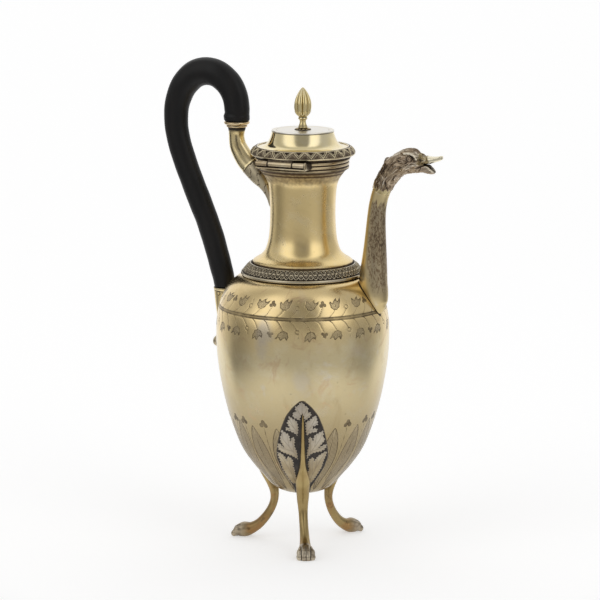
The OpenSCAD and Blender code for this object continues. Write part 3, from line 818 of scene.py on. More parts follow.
def plaque_metal(name):
    """Matt silver leaf on a near-black ground; reads leaf, vein and edge."""
    m, g, b = new_material(name)
    co = g.coords()
    leaf, vein, edge = g.attr("leaf"), g.attr("vein"), g.attr("edge")
    n = g.noise(co, 160, 4, 0.6)
    n2 = g.noise(co, 1300, 2, 0.6)
    wob = g.madd(g.sub(n, 0.5), 0.22, leaf)
    on = g.step(wob, 0.07, -0.10)
    z = g.split(co)[2]
    high = g.step(g.madd(g.sub(n, 0.5), 0.02, z), 0.052, 0.096)
    face = g.mix(high, (0.38, 0.295, 0.165), (0.50, 0.46, 0.405))
    face = g.mix(g.mul(g.step(g.noise(co, 60, 4, 0.6), 0.38, 0.68), 0.6), face, (0.62, 0.55, 0.40))
    face = g.mix(g.mul(g.step(wob, -1.7, -0.25), g.madd(high, -0.2, 0.42)), face, (0.30, 0.23, 0.14))
    # painted shade: browner towards the middle of the leaf, where the lobes meet the stem, less so higher up
    face = g.mix(g.mul(g.attr("root"), 0.62), face, (0.25, 0.19, 0.115))
    face = g.mix(g.mul(g.step(vein, 0.30, 0.08), 0.62), face, (0.24, 0.20, 0.15))
    face = g.mix(g.mul(g.step(wob, -0.50, -0.12), 0.50), face, (0.66, 0.61, 0.52))
    ground = g.mix(g.step(n, 0.35, 0.7), (0.016, 0.012, 0.010), (0.045, 0.035, 0.026))
    ground = g.mix(g.step(edge, 1.1, 0.35), ground, (0.075, 0.060, 0.045))
    ground = g.mix(g.step(edge, 0.28, 0.10), ground, (0.16, 0.13, 0.09))
    col = g.mix(on, ground, face)
    g.put(b.inputs["Base Color"], col)
    g.put(b.inputs["Metallic"], g.lerp(on, 0.35, 0.85))
    g.put(b.inputs["Roughness"], g.lerp(on, 0.45, 0.50))
    g.put(b.inputs["Normal"], g.bump(g.add(g.mul(n2, 0.6), g.mul(n, 0.4)), 0.00010, 0.5))
    return m


def leg_metal(name):
    """Gilt legs, whitish paws with dark grooves; painted shade makes the side legs, and all legs low down, darker and
    browner with more stains; reads rec, paw and the shade attribute.
    """
    m, g, b = new_material(name)
    co = g.coords()
    r, paw, shade_and_stain = g.attr("rec"), g.attr("paw"), g.attr("shade_and_stain")
    n = g.noise(co, 120, 4, 0.6)
    n2 = g.noise(co, 700, 3, 0.6)
    gold = g.mix(g.step(g.noise(co, 40, 3, 0.55), 0.35, 0.65), (0.33, 0.235, 0.095), (0.45, 0.345, 0.155))
    # painted shade with stains: where the shade attribute is high the gilding turns darker, browner and more stained,
    # and the paws darker
    gold = g.mix(g.mul(g.step(g.noise(co, 75, 4, 0.6, 0.5), 0.48, 0.66), g.madd(shade_and_stain, 0.75, 0.15)), gold, (0.42, 0.22, 0.085))
    gold = g.mix(g.mul(g.step(g.noise(co, 150, 3, 0.6, 0.3), 0.58, 0.70), g.madd(shade_and_stain, 0.75, 0.12)), gold, (0.10, 0.072, 0.048))
    gold = g.mix(g.mul(shade_and_stain, 0.50), gold, (0.20, 0.13, 0.060))
    pale = g.mix(g.step(n, 0.40, 0.66), (0.36, 0.30, 0.22), (0.66, 0.59, 0.46))
    pale = g.mix(shade_and_stain, pale, g.mix(g.step(n, 0.38, 0.62), (0.20, 0.16, 0.115), (0.42, 0.35, 0.25)))
    col = g.mix(paw, gold, pale)
    dirty = g.madd(g.sub(n, 0.5), 0.4, r)
    dirty = g.madd(g.sub(n2, 0.5), 0.2, dirty)
    dark = g.step(dirty, 0.30, 0.80)
    col = g.mix(dark, col, (0.035, 0.026, 0.018))
    g.put(b.inputs["Base Color"], col)
    g.put(b.inputs["Metallic"], g.lerp(dark, 1.0, 0.5))
    g.put(b.inputs["Roughness"], g.clamp(g.lerp(dark, g.madd(n, 0.2, 0.22), 0.6)))
    g.put(b.inputs["Normal"], g.bump(g.add(g.mul(n2, 0.5), g.mul(n, 0.5)), 0.00012, 0.5))
    return m


# ------------------------------------------------------------------ body
body_st = [[0.01, 36.1], [10, 36.8], [16.6, 38.8], [22.1, 42.8], [27.5, 49], [33.6, 56.2], [41.1, 67.3], [47, 81.5],
           [52, 98], [55.6, 115], [57.9, 131], [58.6, 145], [58, 158], [55.3, 169.8], [51, 178], [45.6, 183.7], [39.6, 187.2], [36, 188.6]]
body_line = spline(body_st, 24)


def body_radius(z):
    return np.interp(z, body_line[:, 1], body_line[:, 0])


def wrap(a):
    return (a + math.pi) % TAU - math.pi


def ivy(u, v):
    """signed distance to a small three-pointed ivy leaf, pointing up"""
    pts = [(0.3, -3.3), (-1.7, -2.9), (-3.2, -1.4), (-3.9, 0.6), (-4.3, 2.9), (-3.0, 2.0), (-1.8, 1.1), (-0.9, 2.2), (0.2, 3.7), (1.1, 2.2), (2.0, 1.0),
           (3.1, 2.0), (4.5, 3.1), (4.1, 0.9), (3.3, -0.9), (2.2, -2.5)]
    return poly2(u, v, pts) + 0.1


def trefoil(u, v, r=0.95, s=1.0):
    if s != 1.0:
        return trefoil(u / s, v / s, r) * s
    d = np.hypot(u, v - 1.25) - r
    d = np.minimum(d, np.hypot(u - 1.25, v + 0.45) - r)
    return np.minimum(d, np.hypot(u + 1.25, v + 0.45) - r)


def body_marks(T, Z, R):
    """engraved ornament on the body: distance to leaf shapes, hatch coordinate and distance to strokes, in mm"""
    leaf = np.full(T.shape, 2.0)
    hat = np.zeros(T.shape)
    eng = np.full(T.shape, 2.0)
    per = math.radians(36)
    # two rows of ivy either side of a double line
    k0 = math.radians(-68.3)
    for row, zc in ((1, 174.4), (-1, 155.6)):
        band = np.abs(Z - zc) < 9.6
        t = wrap(T[band] - k0)
        cell = np.floor(t / per + 0.5)
        z = (Z[band] - zc) * row
        r = R[band]
        local = t - cell * per
        L = leaf[band]
        H = hat[band]
        E = eng[band]
        for kind, at, dz in (("c", -36.0, -1.7), ("l", -27.0, 0.5), ("s", -18.0, 0.2), ("l", -9.0, 0.5), ("c", 0.0, -1.7), ("l", 9.0, 0.5), ("s", 18.0, 0.2), ("l", 27.0, 0.5), ("c", 36.0, -1.7)):
            j = math.sin(at * 1.7 + row) * 0.35
            u = (local - math.radians(at)) * r
            v = z - dz - j
            if kind == "l":
                q = (0.20 if at in (9.0, -27.0) else -0.16) + 0.13 * math.sin(at * 3.1 + row * 2)
                c, s = math.cos(q), math.sin(q)
                uu, vv = u * c - v * s, u * s + v * c
                # the leaf curls: it bends over to one side and its edge wavers
                uu = uu - row * 0.055 * (vv + 3) ** 2 + 0.22 * np.sin(vv * 2.3 + at)
                vv = vv + 0.20 * np.sin(uu * 2.7 + at * 2)
                d = ivy(uu, vv)
                new = d < L
                H = np.where(new, (vv - np.abs(uu) * 1.15) * 3.7, H)
                L = np.minimum(L, d)
                vein, _ = line2(uu, vv, [(0.2, -3.0), (0.1, 2.6)])
                E = np.minimum(E, np.where(d < 0, vein - 0.20, 2))
                foot = (-0.2, -3.0)
            elif kind == "s":
                d = trefoil(u, v)
                new = d < L
                H = np.where(new, 0.0, H)
                L = np.minimum(L, d)
                foot = (-0.1, -1.2)
            else:
                d = np.abs(np.hypot(u, v + 0.2) - 1.25) - 0.27
                E = np.minimum(E, d)
                tail, _ = line2(u, v, [(0.7, 0.6), (1.1, 1.6), (1.0, 3.0), (0.7, 4.2)])
                E = np.minimum(E, tail - 0.22)
                foot = (-0.3, -1.2)
            h = zc_to_line(zc, row) + dz + j
            base = (-6.2, -h)
            pts = [base, (-4.9, -h + 0.5), (-3.3, -h + 1.7), (-1.9, (foot[1] - h) / 2 + 0.4), (foot[0], foot[1])]
            d, al = line2(u, v, pts)
            E = np.minimum(E, d - 0.26)
        leaf[band], hat[band], eng[band] = L, H, E
    for zl in (164.95, 166.5):
        eng = np.minimum(eng, np.abs(Z - zl) - 0.46)
    eng = np.minimum(eng, np.maximum(np.abs(Z - 165.72) - 0.7, 0.03))
    # water leaves and trefoils rising from the foot
    low = (Z < 96) & (Z > 37)
    t, z, r = T[low], Z[low], R[low]
    L, H, E = leaf[low], hat[low], eng[low]
    order = []
    for a0, a1 in ((-62, 60), (60, 178.5), (178.5, 298)):
        span = a1 - a0
        for q in (23.3, 45.2, span / 2, span - 45.2, span - 23.3):
            order.append((a0 + q, a0 if q < span / 2 else a1, 0 if q in (23.3, span - 23.3) else 1 if q != span / 2 else 2, 90.0 if q != span / 2 else 92.0))
    for a, near, rank, top in sorted(order, key=lambda o: -o[2]):
        lean = (near - a) * 0.24 if rank < 2 else 0.0
        f = np.clip((top - z) / (top - 40.0), 0, 1)
        ax = math.radians(a) + np.radians(lean) * f ** 1.2
        u = wrap(t - ax) * r
        w = 5.9 * np.sin(np.pi * np.clip(f, 0, 1) ** 0.80) ** 1.05 * (1 - 0.20 * f) + 0.12 * (f > 0)
        d = np.where(z < top, (np.abs(u) - w) * 0.93, np.hypot(u, z - top))
        d = np.where(z < 42, np.maximum(d, 42 - z), d)
        new = d < 0
        L = np.where(new, d, np.minimum(L, d))
        H = np.where(new, np.abs(u) * 3.2 + 0.10 * z + 0.9, H)
        E = np.where(new, 2.0, E)
        E = np.minimum(E, np.where(z < top - 3, np.abs(u) - 0.16, 2))
    for a0, a1 in ((-62, 60), (60, 178.5), (178.5, 298)):
        span = a1 - a0
        for q, top in ((34.2, 92.0), (54.0, 92.3), (span - 54.0, 92.3), (span - 34.2, 92.0)):
            a = a0 + q
            near = a0 if q < span / 2 else a1
            f = np.clip((92 - z) / 50.0, 0, 1)
            ax = math.radians(a) + np.radians((near - a) * 0.20) * f ** 1.2
            u = wrap(t - ax) * r
            d = trefoil(u, z - top, 1.0, 1.36)
            L = np.minimum(L, d)
            H = np.where(d < 0, 0.0, H)
            stem = np.where((z < top - 0.5) & (z > 50) & (L > 0.1), np.abs(u) - 0.24, 2)
            E = np.minimum(E, stem)
    leaf[low], hat[low], eng[low] = L, H, E
    return np.clip(leaf, -2, 2), hat, np.clip(eng, -2, 2)


def zc_to_line(zc, row):
    """how far a row of leaves is from the nearer engraved line"""
    return (zc - 166.5) if row > 0 else (164.95 - zc)


def make_body():
    n = 512
    def dens(s):
        z = float(np.interp(s, S_body, body_line[:, 1]))
        if z < 40: return 0.9
        if z < 97: return 1.0
        if z < 146: return 0.34
        if z < 181: return 2.05
        return 1.1
    L = np.r_[0, np.cumsum(np.linalg.norm(np.diff(body_line, axis=0), axis=1))]
    S_body = L / L[-1]
    p = resample(body_line, 176, density=dens)
    # grooves of the double line get rows of their own
    extra = []
    for zl in (164.95, 166.5):
        for dz in (-0.42, -0.2, 0, 0.2, 0.42):
            extra.append([body_radius(zl + dz), zl + dz])
    p = p[(p[:, 1] < 164.4) | (p[:, 1] > 167.05)]
    p = np.concatenate([p, extra])
    p = p[np.argsort(p[:, 1], kind="stable")]
    nr = normals2(p)
    if (nr[len(nr) // 2] @ [1, 0]) < 0:
        nr = -nr
    q = np.arange(n) / n * TAU
    T, Z = np.meshgrid(q, p[:, 1])
    R = np.tile(p[:, 0][:, None], (1, n))
    leaf, hat, eng = body_marks(T, Z, R)
    cut = np.maximum(smooth(-eng, -0.15, 0.15) * 0.10, smooth(-leaf, -0.1, 0.3) * 0.03)
    for zl in (164.95, 166.5):
        cut = np.maximum(cut, 0.17 * bell(Z - zl, 0.26))
    # the raised sheet isn't perfectly true
    wob = 0.05 * np.sin(3 * T + Z * 0.05) * np.sin(Z * 0.09) + 0.03 * np.sin(7 * T - Z * 0.11)
    wob *= smooth(Z, 60, 90) * (1 - smooth(Z, 160, 175))
    dent = 0.0
    off = wob - 0.07 - cut
    rr = np.maximum(R + off * nr[:, 0][:, None], 0.01)
    zz = Z + off * nr[:, 1][:, None]
    rings = []
    # dirt gathers where the spout meets the body
    st = np.array([t for t in tube_st if t[1] < 190])
    X, Y = R * np.cos(T), R * np.sin(T)
    hw = np.interp(Z, st[:, 1], st[:, 3], left=0.0, right=0.0)
    hx = np.interp(Z, st[:, 1], st[:, 2])
    cx = np.interp(Z, st[:, 1], st[:, 0])
    dx = np.hypot((X - cx) / np.maximum(hx, 0.3), Y / np.maximum(hw, 0.3)) - 1
    seam = np.where((X > 30) & (Z > 161.5), np.abs(dx) * np.minimum(np.maximum(hx, 0.3), np.maximum(hw, 0.3)), 2.0)
    seam = np.where((dx < 0) & (X > 30) & (Z > 162.2), 0.0, np.clip(seam, 0, 2))
    A = {k: [] for k in ("leaf", "hat", "eng", "seam")}
    src = dict(leaf=leaf, hat=hat, eng=eng, seam=seam)
    for i in range(len(p)):
        step = 1 if p[i, 0] > 14 else 4 if p[i, 0] > 3 else 32
        if p[i, 0] < 0.5:
            rings.append(np.array([[0, 0, p[i, 1]]]))
            for k in A: A[k].append([src[k][i, 0]])
            continue
        s = slice(None, None, step)
        rings.append(np.stack([rr[i, s] * np.cos(q[s]), rr[i, s] * np.sin(q[s]), zz[i, s]], 1))
        for k in A: A[k].append(src[k][i, s])
    inner = [(33.2, 189.6), (30.2, 189.6), (30, 189.4), (30, 188.6)]
    il = spline([[max(r - 1, 0.01), z + (1 if r < 30 else 0.3)] for r, z in body_st[::-1] if z < 186], 4)
    for r, z in inner:
        rings += turn([(r, z)], 128)
    for r, z in il:
        rings += turn([(r if r > 1 else 0, z)], 64 if r > 1 else 1)
    V, F = skin(rings)
    at = {}
    for k, fill in (("leaf", 2.0), ("hat", 0.0), ("eng", 2.0), ("seam", 2.0)):
        v = np.full(len(V), fill)
        a = np.concatenate([np.asarray(x, float).ravel() for x in A[k]])
        v[:len(a)] = a
        at[k] = v
    ob = make_mesh("pot_body", V, F, at, [M["body"]])
    piece(ob, "pot", ("body_shell",))


# ------------------------------------------------------------------ neck, mouth, shoulder band
neck_st = [[34, 195.3], [32.7, 196.8], [28.6, 199.4], [25.8, 202.4], [24.4, 205.8], [23.2, 210.4], [22.5, 216], [22.05, 224],
           [22.0, 232], [22.4, 241], [23.2, 247.4], [24.7, 251.6], [26.7, 254.6], [28.4, 256.8], [30.2, 258.7]]


def closed_turn(name, prof, n, mats, relief_fn=None, body="pot", nodes=(), extra=None):
    """a ring turned from a closed (r, z) outline in mm; relief_fn(T, s, P, N) gives (offset, {attribute: values})"""
    p = np.asarray(prof, float)
    q = np.arange(n) / n * TAU
    d = np.roll(p, -1, 0) - np.roll(p, 1, 0)
    d /= np.linalg.norm(d, axis=1, keepdims=True) + 1e-12
    N = np.stack([d[:, 1], -d[:, 0]], 1)
    area = 0.5 * np.sum(p[:, 0] * np.roll(p[:, 1], -1) - np.roll(p[:, 0], -1) * p[:, 1])
    if area < 0:
        N = -N
    L = np.linalg.norm(np.roll(p, -1, 0) - p, axis=1)
    s = np.r_[0, np.cumsum(L)[:-1]]
    T, S = np.meshgrid(q, s)
    off, at = (np.zeros(T.shape), {}) if relief_fn is None else relief_fn(T, S, p, N)
    R = p[:, 0][:, None] + off * N[:, 0][:, None]
    Z = p[:, 1][:, None] + off * N[:, 1][:, None]
    V = np.stack([R * np.cos(T), R * np.sin(T), Z + 0 * T], 2).reshape(-1, 3)
    m = len(p)
    i, j = np.meshgrid(np.arange(m), np.arange(n), indexing="ij")
    F = np.stack([i * n + j, (i + 1) % m * n + j, (i + 1) % m * n + (j + 1) % n, i * n + (j + 1) % n], 2).reshape(-1, 4)
    ob = make_mesh(name, V, outward(V, [F]), {k: v.ravel() for k, v in at.items()}, mats)
    return piece(ob, body, nodes)


def dense(prof, step, coarse=None, where=None):
    """walks a closed outline at even steps; where(r, z) picks the stretch that gets the fine step"""
    p = np.asarray(prof, float)
    p = np.concatenate([p, p[:1]])
    out = []
    for a, b in zip(p[:-1], p[1:]):
        l = np.linalg.norm(b - a)
        st = step if where is None or where(*((a + b) / 2)) else (coarse or step * 6)
        k = max(1, int(math.ceil(l / st)))
        for t in np.arange(k) / k:
            out.append(a + (b - a) * t)
    return np.array(out)


def make_neck():
    out = resample(spline(neck_st, 10), 110)
    prof = [(r, z) for r, z in out] + [(30.35, 258.9), (30.4, 259.4), (30.4, 265.7), (30.3, 265.98), (30.1, 266.08), (29.7, 266.1), (29.5, 266.0), (29.4, 265.8), (29.4, 259.4)]
    nn = normals2(out)
    inn = [(r - 1.0 * abs(a[0]), z - 1.0 * a[1] * np.sign(a[0] + 1e-9)) for (r, z), a in zip(out[::-1][::3], nn[::-1][::3]) if 197.6 < z < 258.2]
    prof += inn + [(30.2, 197.0), (30.2, 189.8), (30.4, 189.62), (33.0, 189.62), (33.18, 189.8), (33.2, 194.2), (33.6, 194.45), (33.9, 194.75)]

    def rel(T, S, P, N):
        r, z = P[:, 0][:, None] + 0 * T, P[:, 1][:, None] + 0 * T
        # painted shade darkens the upper neck under the rim; the narrow dark lines are joints and a groove
        rec = 0.95 * bell(z - 258.6, 0.8) + 0.42 * bell(z - 255.9, 0.5) + 0.9 * bell(z - 195.2, 0.7) + 0.62 * smooth(z, 245.5, 252.5) + 0.15 * smooth(z, 203, 197)
        # the raised tube isn't quite true
        off = 0.05 * np.sin(2 * T + z * 0.05) * smooth(z, 198, 206) * (1 - smooth(z, 246, 254)) + 0.02 * np.sin(5 * T - z * 0.09) * (z < 254)
        return np.where((z > 197) & (z < 254), off, 0), {"rec": np.clip(rec, 0, 1)}
    closed_turn("pot_neck", prof, 256, [M["neck"]], rel, "pot", ("neck_tube",))


def make_mouth_rim():
    prof = rounded([[30.42, 258.6], [30.8, 258.7], [31.1, 259.2], [31.12, 260.1], [30.75, 260.6], [30.6, 260.9], [30.75, 261.2],
                    [31.1, 261.5], [31.33, 262.1], [31.2, 262.8], [30.85, 263.2], [30.8, 263.45], [30.95, 263.7], [31.4, 264.1], [31.68, 264.7], [31.7, 265.3], [31.55, 265.8], [31.2, 266.08], [30.42, 266.08]], 0.25, 3, True)
    p = dense(prof, 0.16)

    def rel(T, S, P, N):
        r, z = P[:, 0][:, None] + 0 * T, P[:, 1][:, None] + 0 * T
        rec = 0.30 + 0.10 * np.sin(5 * T + 2) + 0 * T
        for zc, wd in ((260.85, 0.55), (263.45, 0.50)):
            rec = rec + 0.95 * bell(z - zc, wd) * (r > 30.5)
        # a dark joint with the neck, and painted shadow on the rim's top under the lid
        rec = rec + 1.0 * bell(z - 258.6, 0.6) + 1.1 * smooth(z, 265.2, 266.0)
        rec = rec - 0.55 * bell(z - 262.2, 0.45)
        return 0.012 * np.sin(9 * T) + 0.02 * np.sin(4 * T + 1), {"rec": np.clip(rec, 0, 1.2)}
    closed_turn("mouth_moulding", p, 240, [M["rim"]], rel, "pot", ("mouth_rim",))


def shoulder_relief(T, S, P, N):
    """an interlaced wave between two plain edges"""
    r, z = P[:, 0][:, None] + 0 * T, P[:, 1][:, None] + 0 * T
    top = (r > 33.6) & (z > 188.0)
    # across the band: 0 at its inner upper edge, 1 at the bead
    a, b = np.array([35.35, 194.5]), np.array([40.5, 189.05])
    w = ((r - a[0]) * (b[0] - a[0]) + (z - a[1]) * (b[1] - a[1])) / ((b - a) @ (b - a))
    on = (w > 0) & (w < 1) & top
    n = 38
    u = (T / TAU * n) % 1.0
    half = 3.75
    v = (w - 0.5) * 2 * half          # mm across
    per = TAU * 38.3 / n
    A = 2.45
    h = np.zeros(T.shape)
    for k, ph in enumerate((0.0, 0.5)):
        y = A * np.cos(TAU * (u - ph))
        sl = np.hypot(1, A * TAU / per * np.sin(TAU * (u - ph)))
        d = np.abs(v - y) / sl
        over = 0.10 if k == 0 else 0.0
        # each strand is two bright threads with a furrow between
        thread = np.maximum(bell(d - 0.52, 0.24), 0)
        h = np.maximum(h, thread * (0.44 + over) * (d < 1.2))
        h = np.where((d < 0.32), np.minimum(h, 0.12), h)
    for ph in (0.0, 0.5):
        d = np.hypot(wrap01(u - ph) * per, v)
        h = np.maximum(h, np.where(d < 0.80, 0.16 + 0.34 * np.sqrt(np.clip(1 - (d / 0.80) ** 2, 0, 1)), 0))
        d = np.hypot(wrap01(u - ph) * per * 0.9, (np.abs(v) - 3.25))
        side = np.sign(v) * (1 if ph == 0 else -1)
        h = np.maximum(h, np.where((d < 0.62) & (side < 0), 0.14 + 0.28 * (1 - d / 0.62), 0))
    g = smooth(w, 0.0, 0.05) * (1 - smooth(w, 0.95, 1.0))
    off = np.where(on, (-0.46 + h) * g, 0.0)
    rec = np.where(on, g * np.clip(1.26 - h / 0.36, 0, 1.15), 0.0)
    # a dark seam where the band meets the neck, and painted shadow under the band's lower edge where it overhangs the
    # body
    rec = np.maximum(rec, 1.1 * bell(np.hypot(r - 34.3, z - 194.65), 0.75))
    rec = np.maximum(rec, 1.4 * smooth(187.25 - z, 0.0, 0.7) * (r > 39))
    rec = np.maximum(rec, 1.0 * bell(w - 1.03, 0.05) * top)
    off = off - 0.28 * bell(w - 1.04, 0.04) * top
    return off, {"rec": np.clip(rec, 0, 1.2)}


def wrap01(u):
    return (u + 0.5) % 1.0 - 0.5


def make_shoulder_band():
    prof = [[33.25, 188.0], [33.25, 194.1], [34.0, 194.5], [34.8, 194.68], [35.5, 194.55], [36.2, 194.1], [37.6, 192.9], [39.2, 191], [40.4, 189.4], [40.75, 188.98], [41.3, 188.75], [41.65, 188.3], [41.72, 187.7], [41.6, 187.1], [41.2, 186.62], [40.8, 186.35], [40.55, 186.2]]
    back = [[40.3, 186.75], [38.4, 187.6]]
    p = dense(rounded(prof + back, 0.3, 3, True), 0.17, 0.8, lambda r, z: r > 34.2 and z > 185.6 and not (z < 187.7 and r < 40.2))
    closed_turn("shoulder_guilloche", p, 1520, [M["band"]], shoulder_relief, "pot", ("shoulder_band",))


# ------------------------------------------------------------------ lid
def lid_band_relief(T, S, P, N):
    """leaf tips: nested chevrons with a bright middle, and veined darts between them"""
    r, z = P[:, 0][:, None] + 0 * T, P[:, 1][:, None] + 0 * T
    ang = np.degrees(np.arctan2(z - 268.6, r - 31.2))        # 0 at the outer edge, 90 on top
    w = (ang + 2) / (80 + 2)                                 # 0 at the rim's outer edge, 1 inside
    on = (r > 31.3) & (z > 268.4) & (w > 0) & (w < 1)
    n = 26
    u = wrap01(T / TAU * n) * 2                              # -1..1 across a repeat, 0 at a leaf's tip
    x = np.abs(u) * 4.1                                      # mm
    y = w * 6.9                                              # mm up from the outer edge
    g = smooth(w, 0.0, 0.05) * (1 - smooth(w, 0.95, 1.0))
    sl = 1.45

    def chev(y0, width, height):
        d = np.abs((y - y0) - x * sl) / math.hypot(1, sl)
        return np.where(d < width, height * np.sqrt(np.clip(1 - (d / width) ** 2, 0, 1)), 0)
    h = np.maximum(chev(1.15, 0.44, 0.54), chev(3.05, 0.30, 0.36))
    h = np.maximum(h, 0.04)
    # darts between the chevrons, with fine veins
    below = x * sl - (y - 1.15)
    vein = 0.5 + 0.5 * np.cos((4.1 - x) * 6.4 + y * 1.1)
    dart = np.where(below > 1.0, 0.14 + 0.06 * vein ** 2 * smooth(below, 1.0, 1.4) + 0.12 * bell(below - 2.3, 0.30), 0)
    h = np.maximum(h, dart)
    h = np.maximum(h, 0.30 * (1 - smooth(y, 0.35, 0.85)))
    off = np.where(on, (-0.44 + h) * g, 0)
    rec = np.where(on, g * np.clip(1.06 - h / 0.36, 0, 0.92), 0)
    # painted shadow under the lid's lower edge
    rec = np.maximum(rec, 1.2 * smooth(268.2 - z, 0.0, 0.7) * (r > 32))
    rec = np.maximum(rec, 0.9 * bell(np.hypot(r - 31.4, z - 273.5), 0.5))
    return off, {"rec": np.clip(rec, 0, 1.2)}


def make_lid():
    prof = [[31.05, 266.42], [32.4, 266.42], [33.0, 266.8], [33.2, 267.35], [33.7, 267.6], [34.5, 267.7], [35.05, 268.2], [35.28, 269.0],
            [35.1, 269.9], [34.4, 271.2], [33.3, 272.4], [32.3, 273.15], [31.6, 273.5], [30.9, 273.58], [30.3, 273.45], [30.12, 273.2], [30.12, 273.02], [31.03, 272.98]]
    p = dense(rounded(prof, 0.3, 3, True), 0.16, 0.9, lambda r, z: r > 30.0 and z > 267.3)
    closed_turn("lid_leaf_band", p, 1352, [M["lid_band"]], lid_band_relief, "lid", ("lid_band",))

    closed_turn("lid_inner_ring", dense(rounded([[30.12, 266.42], [31.0, 266.42], [31.0, 272.28], [30.12, 272.28]], 0.12, 2, True), 0.8), 128, [M["inner"]], None, "lid", ("lid_skirt",))

    out = spline([[30, 272.98], [28.6, 273.2], [26.3, 273.8], [24.2, 275.2], [22.7, 277.4], [21.5, 280.4], [20.7, 283.4]], 14)
    inn = spline([[28.4, 272.4], [25.8, 273], [23.4, 274.5], [21.7, 277.1], [20.6, 280.3], [19.8, 283.4]], 8)[::-1]
    prof = np.concatenate([[[30.9, 272.34], [31.0, 272.45], [31.0, 272.85], [30.85, 272.95]], out, inn, [[29.2, 272.33]]])

    def rel(T, S, P, N):
        z = P[:, 1][:, None] + 0 * T
        return 0 * T, {"rec": 0.9 * bell(z - 283.3, 0.35) * (P[:, 0][:, None] > 20.2)}
    closed_turn("lid_dome", prof, 256, [M["lid"]], rel, "lid", ("lid_cover",))

    prof = rounded([[28.2, 261.9], [28.5, 261.62], [28.9, 261.62], [29.05, 261.9], [29.05, 266.4], [30.05, 266.4], [30.05, 267.58], [28.2, 267.58]], 0.15, 2, True)
    closed_turn("lid_bezel_ring", dense(prof, 0.8), 160, [M["inner"]], None, "lid", ("lid_bezel",))

    zt = 284.3
    top = rounded([[20.3, 283.42], [20.9, 283.42], [21.04, 283.85], [20.9, zt], [17.95, zt], [17.72, zt - 0.24], [17.48, zt - 0.24], [17.25, zt]], 0.14, 3)
    rest = np.stack([np.linspace(17.1, 1.2, 40), np.full(40, zt)], 1)
    prof = np.concatenate([[[1.06, 283.42], [10, 283.42]], top, rest, [[1.06, zt]]])

    def rel2(T, S, P, N):
        r, z = P[:, 0][:, None] + 0 * T, P[:, 1][:, None] + 0 * T
        rec = 0.75 * bell(r - 17.6, 0.16) * (z > 283.9) + 0.5 * bell(r - 5.2, 0.8) * (z > 284)
        sag = -0.06 * bell(r - 11, 5) * (z > 284.2)
        return sag + 0.02 * np.sin(3 * T + 1) * (z > 284.2) * (r < 17), {"rec": rec}
    closed_turn("lid_disc", prof, 200, [M["disc"]], rel2, "lid", ("lid_top_plate",))


# ------------------------------------------------------------------ finial
def make_finial():
    # leafy rosette
    n = 320
    z0 = 284.3
    rr = np.r_[np.linspace(1.0, 5.6, 34)]
    q = np.arange(n) / n * TAU
    T, R = np.meshgrid(q, rr)
    k = 12
    u = np.abs(wrap01(T / TAU * k)) * 2
    edge = 5.55 - 1.0 * u ** 1.6
    prof = np.interp(R, [1.0, 2.7, 3.1, 4.4, 5.1, 5.6], [1.08, 1.08, 0.92, 0.88, 0.62, 0.30])
    H = prof * (1 - 0.30 * u ** 2 * smooth(R, 2.8, 4.2)) + 0.12 * bell(u, 0.16) * smooth(R, 2.9, 3.6)
    Rr = np.where(R > 2.9, 2.9 + (R - 2.9) * (edge - 2.9) / (5.6 - 2.9), R)
    H = H - 0.12 * smooth(u, 0.75, 1.0) * smooth(R, 3.0, 3.6)
    P = np.stack([Rr * np.cos(T), Rr * np.sin(T), z0 + np.clip(H, 0.05, 1.1)], 2)
    base = [np.stack([x[:, 0], x[:, 1], np.full(n, z0 + 0.005)], 1) for x in (P[-1], P[0])]
    V, F = skin(list(P) + [base[0], base[1]], closed=True)
    rec = np.clip(0.22 + smooth(u, 0.50, 0.95) * 0.8 + 0.4 * smooth(R, 4.8, 5.6) + 0.6 * bell(R - 2.9, 0.5), 0, 1.1)
    rec = np.concatenate([rec.ravel(), np.ones(2 * n)])
    piece(make_mesh("finial_rosette_leaves", V, F, {"rec": rec}, [M["rosette"]]), "lid", ("finial_rosette",))
    # fluted bud
    n = 288
    st = [[1.05, 285.4], [2.9, 285.4], [3.2, 286], [2.8, 287], [2.35, 288.4], [2.1, 289.8], [2.4, 290.9], [3.05, 291.5], [3.15, 292.0], [2.9, 292.45], [2.75, 292.85], [3.1, 293.3], [3.8, 294.0],
          [5.05, 295.6], [5.88, 298], [6.04, 300.3], [5.7, 303.2], [4.7, 306.4], [3.2, 309.2], [1.62, 311.4], [0.7, 312.35], [0.0, 312.72]]
    p = np.concatenate([[st[0]], resample(spline(st[1:], 10), 150)])
    p[-1, 0] = 0
    q = np.arange(n) / n * TAU
    rings, rec = [], []
    for r, z in p:
        if r < 0.05:
            rings.append(np.array([[0, 0, z]]))
            rec.append([0.0])
            continue
        f = smooth(z, 293.6, 295.4) * (1 - smooth(z, 310.2, 312.2))
        u = np.abs(wrap01(q / TAU * 8)) * 2
        lobe = np.sqrt(np.clip(1 - u ** 2, 0, 1))
        cut = f * (1.05 * (1 - lobe))
        low = smooth(z, 292.9, 294.5) * (1 - smooth(z, 296.0, 300.5))
        v = np.abs(wrap01(q / TAU * 8 + 0.5)) * 2
        # small leaves clasp the bud's foot
        leaf = low * 0.22 * (v < (1 - smooth(z, 294.5, 300)) * 0.95)
        rr = r * (1 - cut * 0.30) + leaf * (r / 6)
        rings.append(np.stack([rr * np.cos(q), rr * np.sin(q), np.full(n, z)], 1))
        rec.append(np.clip(f * smooth(u, 0.86, 0.99) * 0.75 + 0.6 * bell(z - 292.85, 0.35) + 0.25 * bell(z - 286.9, 1.0) + 0.35 * smooth(z, 310.5, 312.5) + 0.30 * smooth(z, 296.8, 294.6) * (z < 298), 0, 1) + 0 * q)
    V, F = skin(rings, caps=(True, False))
    rec = np.concatenate([np.asarray(x, float) for x in rec])
    rec = np.r_[rec, np.zeros(len(V) - len(rec))]
    piece(make_mesh("finial_bud", V, F, {"rec": rec}, [M["finial"]]), "lid", ("finial",))


